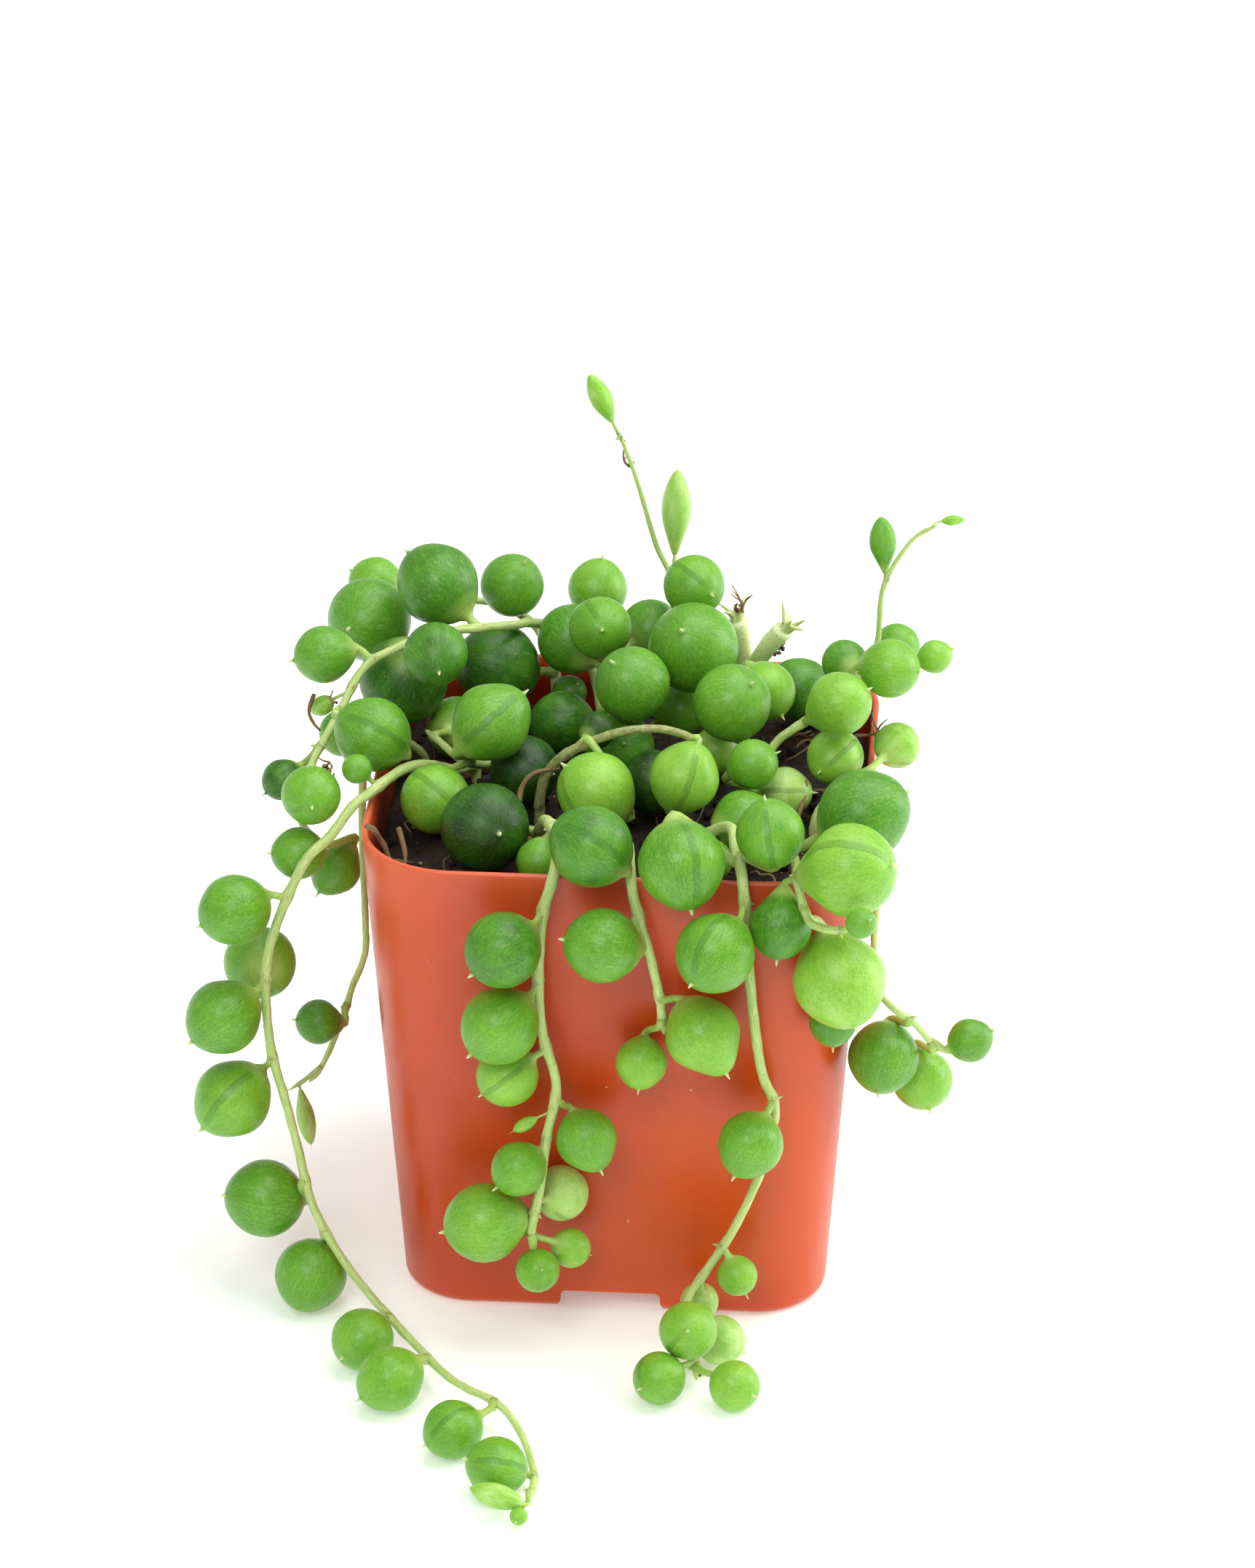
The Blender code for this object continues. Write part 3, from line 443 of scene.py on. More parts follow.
def stem_material():
    """Pale fleshy stem, browner with age and at its nodes, and paler where age is negative."""
    n = Nodes("stem_skin")
    point, age = n.attribute("stem_point", "Vector"), n.attribute("age")
    fibre = n.noise(n.stretched(point, (1.0, 1.0, 0.12)), 5.0, 4.0, 0.6)
    blotch = n.noise(point, 1.4, 4.0, 0.6)
    skin = n.ramp(fibre, (0.3, srgb(160, 190, 96)), (0.55, srgb(194, 216, 134)),
                  (0.75, srgb(222, 232, 172)))
    old = n.ramp(fibre, (0.3, srgb(112, 112, 66)), (0.6, srgb(156, 152, 100)),
                 (0.8, srgb(186, 178, 132)))
    skin = n.mix(n.times(age, n.ramp(blotch, (0.3, 0.35), (0.6, 1.0))), skin, old)
    skin = n.mix(n.times(age, -1.0), skin, srgb(226, 234, 176))
    brown = n.times(n.ramp(n.attribute("mark"), (0.55, 0.0), (0.95, 1.0)),
                    n.ramp(blotch, (0.50, 0.0), (0.66, 0.8)))
    skin = n.mix(brown, skin, srgb(160, 118, 66))
    flecks = n.ramp(n.noise(point, 3.6, 2.0), (0.68, 0.0), (0.72, 0.8))
    skin = n.mix(flecks, skin, srgb(112, 84, 44))
    normal = n.bump(blotch, 0.3, 0.00015, n.bump(fibre, 0.35, 0.00012))
    return n.finish(Base_Color=skin, Roughness=n.ramp(blotch, (0.3, 0.42), (0.7, 0.6)),
                    Normal=normal, Subsurface_Weight=0.2,
                    Subsurface_Radius=(0.001, 0.0012, 0.0004), Subsurface_Scale=1.0)


def pot_material():
    """Terracotta-orange plastic: flow marks, dust, scuffs, a painted highlight along the rim and
    the foot, and painted shade on the inner wall.
    """
    n = Nodes("pot_plastic_skin")
    point = n.add("ShaderNodeTexCoord").outputs["Object"]
    flow = n.noise(n.stretched(point, (1.0, 1.0, 0.45)), 42.0, 4.0, 0.55)
    skin = n.ramp(flow, (0.25, srgb(192, 60, 8)), (0.5, srgb(204, 70, 10)),
                  (0.75, srgb(214, 82, 14)))
    grime = n.noise(point, 95.0, 6.0, 0.62)
    skin = n.mix(n.ramp(grime, (0.55, 0.0), (0.78, 0.22)), skin, srgb(150, 54, 22))
    dust = n.spots(point, 420.0, 0, 0.93, (0.035, 0.7), (0.09, 0.0))
    skin = n.mix(dust, skin, srgb(240, 196, 160))
    scratch_at = n.add("ShaderNodeMapping", {"Vector": point, "Rotation": (0.3, 0.5, 0.9),
                                             "Scale": (40.0, 900.0, 60.0)}).outputs[0]
    scratch = n.ramp(n.noise(scratch_at, 1.0, 2.0), (0.70, 0.0), (0.78, 0.5))
    scuff = n.times(scratch, n.ramp(n.noise(point, 60.0, 1.0), (0.58, 0.0), (0.68, 1.0)))
    skin = n.mix(scuff, skin, srgb(232, 150, 116))
    # Painted shade on the inner wall below the rim, where the leaves shade it, mottled by the grime
    # noise
    inner_wall_shade = n.times(n.attribute("inside"), n.ramp(grime, (0.3, 0.55), (0.7, 0.85)))
    skin = n.mix(inner_wall_shade, skin, srgb(84, 34, 18))
    # Painted highlight: paler along the rim and the foot
    skin = n.mix(n.times(n.attribute("rim_foot_highlight"), 0.35), skin, srgb(232, 140, 104))
    gloss = n.ramp(n.noise(point, 140.0, 5.0, 0.6), (0.3, 0.27), (0.7, 0.42))
    normal = n.bump(flow, 0.10, 0.0004, n.bump(n.noise(point, 900.0, 3.0), 0.05, 0.00005))
    normal = n.bump(scuff, 0.2, 0.00005, normal)
    return n.finish(Base_Color=skin, Roughness=gloss, Normal=normal, IOR=1.49,
                    Subsurface_Weight=0.30, Subsurface_Radius=(0.0030, 0.0010, 0.0004),
                    Subsurface_Scale=1.0)


def soil_material():
    """Moist peat."""
    n = Nodes("peat")
    point = n.add("ShaderNodeTexCoord").outputs["Object"]
    crumbs, lumps = n.noise(point, 700.0, 8.0, 0.7), n.noise(point, 180.0, 4.0, 0.6)
    soil = n.ramp(crumbs, (0.3, srgb(20, 13, 8)), (0.5, srgb(46, 31, 20)),
                  (0.66, srgb(88, 62, 40)), (0.8, srgb(136, 102, 70)))
    soil = n.mix(n.ramp(lumps, (0.4, 0.7), (0.65, 0.0)), soil, srgb(16, 11, 7))
    return n.finish(Base_Color=soil, Roughness=n.ramp(lumps, (0.4, 0.7), (0.6, 0.95)),
                    Normal=n.bump(crumbs, 0.9, 0.0006))


def litter_material():
    """Brown roots, dry leaf bits and bark fibres."""
    n = Nodes("dry_litter")
    point = n.attribute("stem_point", "Vector")
    grain = n.noise(n.stretched(point, (1.0, 1.0, 0.15)), 4.0, 4.0, 0.6)
    dark = n.ramp(grain, (0.3, srgb(60, 38, 24)), (0.7, srgb(120, 84, 52)))
    pale = n.ramp(grain, (0.3, srgb(150, 112, 70)), (0.7, srgb(206, 180, 132)))
    return n.finish(Base_Color=n.mix(n.attribute("age"), dark, pale), Roughness=0.85,
                    Normal=n.bump(grain, 0.5, 0.0002))


# --- Mesh helpers -----------------------------------------------------------------------------

def new_object(name, data):
    obj = bpy.data.objects.new(name, data)
    bpy.context.scene.collection.objects.link(obj)
    return obj


def set_values(mesh, key, values):
    """A vector attribute where the key ends in point, else one number for each vertex."""
    vector = key.endswith("point")
    layer = mesh.attributes.new(key, "FLOAT_VECTOR" if vector else "FLOAT", "POINT")
    layer.data.foreach_set("vector" if vector else "value", np.asarray(values, np.float32).ravel())


def add_object(name, vertices, faces, materials, slots=None, attributes=None):
    """An object in the row frame, from points in millimetres from the pot's foot centre."""
    mesh = bpy.data.meshes.new(name)
    mesh.from_pydata([(Vector(v) * MM + FOOT_CENTRE) for v in vertices], [], faces)
    for key, values in (attributes or {}).items():
        set_values(mesh, key, values)
    for material in materials:
        mesh.materials.append(material)
    if slots is not None:
        mesh.polygons.foreach_set("material_index", slots)
    bm = bmesh.new()
    bm.from_mesh(mesh)
    bmesh.ops.recalc_face_normals(bm, faces=bm.faces)
    bm.to_mesh(mesh)
    bm.free()
    mesh.shade_smooth()
    return new_object(name, mesh)


def loft_faces(rings, first=0):
    """Faces that skin rings of equal length and close both ends."""
    count = len(rings[0])
    last = first + (len(rings) - 1) * count
    faces = []
    for low in range(first, last, count):
        for k in range(count):
            a, b = low + k, low + (k + 1) % count
            faces.append((a, b, b + count, a + count))
    faces.append(tuple(range(first + count - 1, first - 1, -1)))
    faces.append(tuple(range(last, last + count)))
    return faces


def loft_object(name, rings, materials):
    points = [point for ring in rings for point in ring]
    return add_object(name, points, loft_faces(rings), materials)


class Build:
    """Vertices, faces and attributes gathered for one object."""

    def __init__(self):
        self.points, self.faces, self.slots = [], [], []
        self.values = {"leaf_point": [], "tone": [], "window": [], "stem_point": [], "age": [],
                       "mark": []}

    def fill(self, total, values):
        """Attribute values for the next points, with zeros where none are given."""
        for key, store in self.values.items():
            blank = (0.0, 0.0, 0.0) if key.endswith("point") else 0.0
            store.extend(values.get(key, [blank] * total))

    def loft(self, rings, slot, **values):
        """Skins rings of equal length and closes both ends. values: one list per attribute."""
        faces = loft_faces(rings, len(self.points))
        self.faces += faces
        self.slots += [slot] * len(faces)
        for ring in rings:
            self.points.extend(ring)
        self.fill(len(rings) * len(rings[0]), values)

    def make(self, name, materials):
        return add_object(name, self.points, self.faces, materials, self.slots, self.values)


def lerp(a, b, t):
    return a + (b - a) * t


def tapered(start, end, count):
    """Numbers that run evenly from start to end."""
    return [lerp(start, end, i / (count - 1)) for i in range(count)]


def smoothstep(low, high, value):
    t = min(max((value - low) / (high - low), 0.0), 1.0)
    return t * t * (3 - 2 * t)


def smooth_route(points, step):
    """Points along a smooth curve through the route's own points."""
    points = [np.array(point, float) for point in points]
    guide = [2 * points[0] - points[1], *points, 2 * points[-1] - points[-2]]
    route = []
    for a, b, c, d in zip(guide, guide[1:], guide[2:], guide[3:]):
        pieces = max(1, round(float(np.linalg.norm(c - b)) / step))
        for piece in range(pieces):
            t = piece / pieces
            route.append(0.5 * (2 * b + (c - a) * t + (2 * a - 5 * b + 4 * c - d) * t * t
                                + (3 * b - a - 3 * c + d) * t ** 3))
    route.append(points[-1])
    return np.array(route)


def spokes(side, up, count):
    """The cosine, sine and direction of each point around a ring."""
    for k in range(count):
        angle = 2 * math.pi * k / count
        cosine, sine = math.cos(angle), math.sin(angle)
        yield cosine, sine, side * cosine + up * sine


def tube(build, points, radii, sides, slot, age=0.0, marks=None, rough=0.0, seed=0.0):
    """A tube with one age for all of it, or one per point. It turns as little as possible."""
    points = np.asarray(points, float)
    rings, local = [], []
    length, side = 0.0, None
    for i, (point, radius) in enumerate(zip(points, radii)):
        ahead = Vector(points[min(i + 1, len(points) - 1)] - points[max(i - 1, 0)]).normalized()
        if side is None:
            side = ahead.orthogonal()
        side = (side - ahead * side.dot(ahead)).normalized()
        ring = []
        for cosine, sine, spoke in spokes(side, ahead.cross(side), sides):
            reach = radius
            if rough:
                reach *= 1 + rough * noise.noise(Vector((cosine * 1.3 + seed, sine * 1.3,
                                                         length * 0.7)))
            ring.append(tuple(Vector(point) + spoke * reach))
            local.append((cosine + seed, sine, length))
        rings.append(ring)
        if i + 1 < len(points):
            length += float(np.linalg.norm(points[i + 1] - point))
    ages = np.repeat(np.broadcast_to(age, len(points)), sides)
    near = np.repeat(marks if marks is not None else np.zeros(len(points)), sides)
    build.loft(rings, slot, stem_point=local, age=ages.tolist(), mark=near.tolist())


# --- Pot --------------------------------------------------------------------------------------

FOOT_ROUNDING = 0.9
# Depth below the rim where the painted shade on the inner wall starts
INNER_SHADE_FROM = 3.5
EDGE_BEVEL = 0.18
# Heights of the painted highlight bands along the rim and the foot
RIM_HIGHLIGHT_BAND = 0.7
FOOT_HIGHLIGHT_BAND = 0.8
CUT_BELOW = -2.0
CHANNEL_ROUNDING = 0.7


def pot_half(z):
    return lerp(POT_BOTTOM, POT_TOP, z / POT_HEIGHT) / 2


def corner_radius(z):
    return lerp(BOTTOM_CORNER_RADIUS, TOP_CORNER_RADIUS, z / POT_HEIGHT)


def rounded_square(half, radius, z):
    ring = []
    for quarter in range(4):
        sign_x, sign_y = (1 if quarter in (0, 3) else -1), (1 if quarter in (0, 1) else -1)
        for step in range(CORNER_SEGMENTS + 1):
            angle = quarter * math.pi / 2 + step / CORNER_SEGMENTS * math.pi / 2
            ring.append((sign_x * (half - radius) + radius * math.cos(angle),
                         sign_y * (half - radius) + radius * math.sin(angle), z))
    return ring


def pot_ring(z, inset):
    """The pot's outer outline at a height, moved inwards."""
    return rounded_square(pot_half(z) - inset, corner_radius(z) - inset, z)


def channel_profile(widen, low, flare):
    """A channel's section: round at its top corners, flared where it meets the floor."""
    half, top = CHANNEL_WIDTH / 2 + widen, CHANNEL_HEIGHT + widen
    inner, steps = CHANNEL_ROUNDING, 6
    quarter = [math.pi / 2 * i / steps for i in range(steps + 1)]
    outline = [(half + flare, low)]
    if flare:
        outline += [(half + flare - flare * math.sin(a), flare - flare * math.cos(a) - 0.03)
                    for a in quarter]
    outline += [(half - inner + inner * math.cos(a), top - inner + inner * math.sin(a))
                for a in quarter]
    return outline + [(-across, height) for across, height in reversed(outline)]


def cross_bars(name, outline, length):
    """Two bars with that section, along X and along Y."""
    ends = (-length / 2, length / 2)
    along_x = [[(end, a, z) for a, z in outline] for end in ends]
    along_y = [[(-a, end, z) for a, z in outline] for end in ends]
    return [loft_object(f"{name}_x", along_x, []), loft_object(f"{name}_y", along_y, [])]


def apply_modifiers(obj):
    bpy.context.view_layer.update()
    graph = bpy.context.evaluated_depsgraph_get()
    mesh = bpy.data.meshes.new_from_object(obj.evaluated_get(graph))
    obj.modifiers.clear()
    obj.data = mesh


def combine(obj, tools, operation):
    """Joins the tools to the object or cuts them from it, then removes them."""
    for tool in tools:
        modifier = obj.modifiers.new(tool.name, "BOOLEAN")
        modifier.operation = operation
        modifier.solver = "EXACT"
        modifier.object = tool
    apply_modifiers(obj)
    for tool in tools:
        bpy.data.objects.remove(tool)


def make_drain(side_x, side_y):
    place = POT_BOTTOM / 2 - DRAIN_INSET
    bm = bmesh.new()
    bmesh.ops.create_cone(bm, cap_ends=True, segments=DRAIN_SEGMENTS, depth=4 * POT_WALL * MM,
                          radius1=DRAIN_DIAMETER / 2 * MM, radius2=DRAIN_DIAMETER / 2 * MM)
    bmesh.ops.translate(bm, vec=Vector((side_x * place, side_y * place, 0)) * MM + FOOT_CENTRE,
                        verts=bm.verts)
    mesh = bpy.data.meshes.new("drain")
    bm.to_mesh(mesh)
    bm.free()
    return new_object(f"drain_{side_x}_{side_y}", mesh)


def make_pot(material):
    rings = []
    for step in range(ROUNDING_STEPS + 1):
        angle = step / ROUNDING_STEPS * math.pi / 2
        rings.append(pot_ring(FOOT_FILLET * (1 - math.cos(angle)),
                              FOOT_FILLET * (1 - math.sin(angle))))
    rim = POT_WALL / 2
    for level in np.linspace(FOOT_FILLET, POT_HEIGHT - rim, SIDE_LEVELS)[1:]:
        rings.append(pot_ring(level, 0.0))
    for step in range(1, ROUNDING_STEPS):
        angle = step / ROUNDING_STEPS * math.pi
        rings.append(pot_ring(POT_HEIGHT - rim + rim * math.sin(angle),
                              rim * (1 - math.cos(angle))))
    for z in (POT_HEIGHT - rim, POT_HEIGHT - INNER_SHADE_FROM, POT_HEIGHT / 2, POT_WALL + 1.0):
        rings.append(pot_ring(z, POT_WALL))
    inner = POT_WALL + FOOT_ROUNDING
    rings.append(rounded_square(pot_half(POT_WALL) - inner, corner_radius(0) - inner, POT_WALL))
    pot = loft_object("nursery_pot", rings, [material])
    ridge = channel_profile(POT_WALL, POT_WALL / 2, 0.0)
    combine(pot, cross_bars("ridge", ridge, POT_BOTTOM - POT_WALL), "UNION")
    channel = channel_profile(0.0, CUT_BELOW, FOOT_FILLET)
    drains = [make_drain(side_x, side_y) for side_x in (-1, 1) for side_y in (-1, 1)]
    combine(pot, cross_bars("channel", channel, 2 * POT_TOP) + drains, "DIFFERENCE")
    bevel = pot.modifiers.new("edges", "BEVEL")
    bevel.width = EDGE_BEVEL * MM
    bevel.segments = 2
    bevel.limit_method = "ANGLE"
    bevel.angle_limit = math.radians(50)
    apply_modifiers(pot)
    mesh = pot.data
    heights = np.array([vertex.co.z for vertex in mesh.vertices]) / MM
    # Painted highlight: a pale band along the rim and a weaker one along the foot
    rim_highlight = np.clip((heights - (POT_HEIGHT - RIM_HIGHLIGHT_BAND)) / RIM_HIGHLIGHT_BAND, 0, 1)
    foot_highlight = np.clip((FOOT_HIGHLIGHT_BAND - heights) / FOOT_HIGHLIGHT_BAND, 0, 1) * 0.5
    set_values(mesh, "rim_foot_highlight", rim_highlight + foot_highlight)
    inside = [float(vertex.normal.xy.dot((vertex.co - FOOT_CENTRE).xy) < 0)
              for vertex in mesh.vertices]
    # How deep on the inner wall the painted shade reaches, from just below the rim
    inner_wall_shade = np.clip((POT_HEIGHT - 0.5 - heights) / (INNER_SHADE_FROM - 0.5), 0, 1)
    set_values(mesh, "inside", np.array(inside) * inner_wall_shade)
    mesh.shade_smooth()
    mesh.set_sharp_from_angle(angle=math.radians(40))
    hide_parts("pot")
    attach(pot, "root")


# --- Soil and litter --------------------------------------------------------------------------

def inside_half(z):
    return pot_half(z) - POT_WALL - CLEARANCE / 2


def soil_height(x, y):
    edge = max(abs(x), abs(y)) / inside_half(SOIL_TOP)
    lumps = noise.noise(Vector((x * 0.11, y * 0.11, 3.0))) * 0.9
    crumbs = noise.noise(Vector((x * 0.45, y * 0.45, 7.0))) * 0.6
    grit = noise.noise(Vector((x * 1.3, y * 1.3, 1.0))) * 0.35
    return SOIL_TOP - 0.5 + lumps + crumbs + grit - 0.9 * smoothstep(0.86, 1.0, edge)


def make_soil(material):
    rings = []
    for z in (POT_WALL + CLEARANCE, POT_HEIGHT * 0.5, SOIL_TOP - 3.0):
        rings.append(rounded_square(inside_half(z) - 0.2, corner_radius(z) - POT_WALL - 0.2, z))
    for step in range(SOIL_RINGS, 0, -1):
        half = inside_half(SOIL_TOP) * step / SOIL_RINGS
        radius = max(0.2, (corner_radius(SOIL_TOP) - POT_WALL) * step / SOIL_RINGS)
        rings.append([(x, y, soil_height(x, y)) for x, y, _ in rounded_square(half, radius, 0)])
    soil = loft_object("peat_soil", rings, [material])
    groove = channel_profile(POT_WALL + CLEARANCE, CUT_BELOW, 0.0)
    combine(soil, cross_bars("groove", groove, 2 * POT_TOP), "DIFFERENCE")
    soil.data.shade_smooth()
    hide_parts("soil")
    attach(soil, "root")


def crumb(build, centre, size, slot, tint):
    """A small angular lump."""
    bm = bmesh.new()
    bmesh.ops.create_icosphere(bm, subdivisions=1, radius=1.0)
    turn = Quaternion((rng.gauss(0, 1), rng.gauss(0, 1), rng.gauss(0, 1), rng.gauss(0, 1)))
    turn.normalize()
    squash = (rng.uniform(0.6, 1.3), rng.uniform(0.6, 1.3), rng.uniform(0.4, 0.9))
    first = len(build.points)
    for vert in bm.verts:
        point = Vector([c * s for c, s in zip(vert.co, squash)]) * size * rng.uniform(0.75, 1.2)
        point.rotate(turn)
        build.points.append(tuple(point + Vector(centre)))
    for face in bm.faces:
        build.faces.append(tuple(first + vert.index for vert in face.verts))
        build.slots.append(slot)
    total = len(bm.verts)
    build.fill(total, {"stem_point": [tuple(centre)] * total, "age": [tint] * total})
    bm.free()


FIBRE_BENDS = 5
SOIL_CRUMBS, PALE_SPECKS, SOIL_FIBRES = 520, 60, 90

# Roots and dry stalks that show: points, thickness, and how pale
ROOTS = [
    ([(-27.5, -21, 60.2), (-26.5, -20.5, 59.2), (-25.6, -20, 57), (-24.6, -20.5, 54.6),
      (-23, -21.5, 52.6)], 0.35, 0.35),
    ([(-24.5, -16, 57.5), (-23.5, -18.5, 55.5), (-23.6, -20.5, 54), (-24.4, -21.5, 52.8)],
     0.32, 0.3),
    ([(-29.5, 2, 63), (-30.5, 0, 61.5), (-29.8, -3, 60.5), (-29.3, -4.5, 59.2)], 0.28, 0.25),
    ([(-36.0, 1.8, 65.2), (-36.5, 0.6, 63.8), (-36.0, -0.6, 62.9), (-35.0, -1.6, 62.3)],
     0.26, 0.25),
    ([(24.5, 1, 60), (26, 2.5, 61.6), (27.5, 4, 61.2), (29.5, 3.5, 62)], 0.25, 0.3),
    ([(-9, -14, 53), (-11.5, -9, 57), (-10.5, -7, 60), (-7, -6.5, 61)], 0.4, 0.45),
    ([(19, -8, 53), (20.5, -6.5, 57), (21, -4.5, 59.5)], 0.3, 0.5),
]

# Dry scraps and curling fibres away from the soil: place, how many crumbs and curls, and spread
SCRAPS = [((16.2, 21.0, 64.0), 26, 3, 0.9), ((11.6, 22.2, 68.3), 8, 4, 0.6),
          ((-33.2, -9.5, 60.5), 16, 2, 0.9), ((-33.0, 1.5, 64.5), 3, 1, 0.5),
          ((-8.6, -31.6, 15.2), 5, 1, 0.3), ((11.3, -39.2, 1.6), 4, 0, 0.3),
          ((28.9, 3.0, 61.0), 6, 3, 0.8), ((-1.0, 24.2, 85.3), 2, 2, 0.25)]


def fibre_points(start, reach, lift):
    """A route that wanders over the soil and rises in the middle."""
    heading = rng.uniform(0, 2 * math.pi)
    points = [np.array(start, float)]
    for i in range(FIBRE_BENDS):
        heading += rng.uniform(-0.9, 0.9)
        step = reach / FIBRE_BENDS
        x, y = points[-1][0] + math.cos(heading) * step, points[-1][1] + math.sin(heading) * step
        limit = inside_half(SOIL_TOP) - 1.2
        x, y = max(-limit, min(limit, x)), max(-limit, min(limit, y))
        wave = lift * math.sin(math.pi * (i + 1) / FIBRE_BENDS)
        points.append(np.array((x, y, soil_height(x, y) + 0.25 + wave)))
    return points


def dry_curl(build, point, lift, size):
    """A dry tendril that rises and curls over."""
    heading = rng.uniform(0, 2 * math.pi)
    points = []
    for step in range(9):
        turn = step / 8 * 4.2
        points.append(np.array(point) + np.array((
            math.cos(heading) * size * math.sin(turn) * 0.6 + 0.15 * step * math.sin(heading),
            math.sin(heading) * size * math.sin(turn) * 0.6,
            lift * (1 - math.cos(turn * 0.75)) / 2 + size * 0.2 * math.sin(turn * 1.5))))
    route = smooth_route(points, 0.25)
    tube(build, route, tapered(0.17, 0.07, len(route)), 6, 0, rng.uniform(0.3, 0.9), None, 0.4,
         rng.uniform(0, 9))


def make_litter(material, soil):
    build = Build()
    limit = inside_half(SOIL_TOP) - 1.0
    for _ in range(SOIL_CRUMBS):
        x, y = rng.uniform(-limit, limit), rng.uniform(-limit, limit)
        size = rng.choice((0.25, 0.3, 0.35, 0.45, 0.6, 0.85))
        crumb(build, (x, y, soil_height(x, y) + size * 0.3), size, 1,
              rng.choice((0.0, 0.0, 0.1, 0.3)))
    for _ in range(PALE_SPECKS):
        x, y = rng.uniform(-limit, limit), rng.uniform(-limit, limit)
        size = rng.uniform(0.15, 0.3)
        crumb(build, (x, y, soil_height(x, y) + size), size, 0, rng.uniform(0.4, 0.9))
    for _ in range(SOIL_FIBRES):
        x, y = rng.uniform(-limit, limit), rng.uniform(-limit, limit)
        points = smooth_route(fibre_points((x, y, soil_height(x, y)), rng.uniform(2.5, 7),
                                           rng.uniform(0.2, 1.4)), 0.7)
        width = rng.uniform(0.06, 0.17)
        tube(build, points, [width] * len(points), 5, 0, rng.uniform(0.0, 0.7), None, 0.3)
    for points, width, tint in ROOTS:
        route = smooth_route(points, 0.5)
        radii = [width * share for share in tapered(1.0, 0.6, len(route))]
        tube(build, route, radii, 8, 0, tint, None, 0.5, rng.uniform(0, 9))
    for place, crumbs, curls, spread in SCRAPS:
        for _ in range(crumbs):
            spot = [c + rng.uniform(-spread, spread) for c in place]
            crumb(build, spot, rng.uniform(0.15, 0.42), 0, rng.choice((0.0, 0.0, 0.25, 0.5)))
        for _ in range(curls):
            spot = [c + rng.uniform(-spread, spread) for c in place]
            dry_curl(build, spot, rng.uniform(1.2, 3.2), rng.uniform(0.8, 1.6))
    litter = build.make("roots_and_litter", [material, soil])
    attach(litter, "root")


# --- Strands ----------------------------------------------------------------------------------

STALK_LEAD = 1.5
ROOT_RISE = 1.2
NODE_LENGTH = 0.75
NODE_SWELL = 0.22
THIN_END = 0.62
END_SHARES = (0.25, 0.7, 0.92)
SPUR_CHANCE = 0.6
POINT_SIZE = 0.34
STALK_WIDTH = 0.42
BROAD_LEAF, BROAD_STALK_WIDTH = 9.5, 0.55
# How brown the stems are. The strand of cut stubs gets paler towards its torn ends instead.
AGES = {"centre_arch": 1.0, "left_arch": 0.15, "centre": 0.5, "mid_left": 0.3}
OTHER_AGE = 0.08
TORN = "cut_stubs"
SPROUT_TONE = "8"


def strand_routes(routes):
    """Smooth routes, with the first one rooted in the soil."""
    routes = [[np.array(point, float) for point in route] for route in routes]
    root = routes[0][0].copy()
    root[2] = SOIL_TOP - 1.0
    routes[0][0] = root
    routes[0].insert(1, np.array((root[0], root[1], SOIL_TOP + CLEARANCE + ROOT_RISE)))
    return [smooth_route(route, STEM_STEP) for route in routes]


def stalk_start(routes, centre):
    """Where a leaf's stalk leaves its stem: the route's number and the place along it."""
    gaps = [np.linalg.norm(route - centre, axis=1) for route in routes]
    number = int(np.argmin([gap.min() for gap in gaps]))
    nearest = int(gaps[number].argmin())
    start = nearest
    route = routes[number]
    while start > 0 and np.linalg.norm(route[start] - route[nearest]) < STALK_LEAD:
        start -= 1
    return number, start


def leaf_shape(length, long, point, neck):
    """The leaf's outline from stalk to tip, as (radius, height) in half widths and lengths."""
    outline = []
    for degrees in tapered(-74, 83, LEAF_RINGS):
        radius, height = math.cos(math.radians(degrees)), math.sin(math.radians(degrees))
        if long:
            radius = radius ** 1.3
        fore, aft = smoothstep(0.25, 1.0, height), smoothstep(0.25, 1.0, -height)
        radius *= 1 - 0.22 * point * fore - 0.25 * neck * aft
        height += 0.16 * point * fore - 0.18 * neck * aft
        outline.append((radius, height))
    top_radius, top = outline[-1]
    spike = POINT_SIZE / (length / 2)
    for narrowing, rise in ((0.62, 0.28), (0.42, 0.8), (0.28, 1.6), (0.12, 2.3)):
        outline.append((top_radius * narrowing, top + spike * rise))
    return outline


def seen_from_front(right, up):
    """The direction that lies that far to the right and upwards, with the rest to the viewer."""
    flat = camera_right * right + camera_up * up
    return (flat + camera_back * math.sqrt(max(0.0, 1 - flat.length_squared))).normalized()


def stalk_path(start, ahead, base, axis, steps):
    """Points of a curve from the stem to the leaf's base, which is its last point."""
    gap = (base - start).length
    lead = (Vector(ahead) * 0.55 + axis * 0.8).normalized()
    handle = gap * 0.38
    a, b, c, d = start, start + lead * handle, base - axis * handle, base
    path = []
    for i in range(steps):
        t = i / steps
        path.append(np.array((1 - t) ** 3 * a + 3 * (1 - t) ** 2 * t * b
                             + 3 * (1 - t) * t * t * c + t ** 3 * d))
    return [*path, np.array(base)]


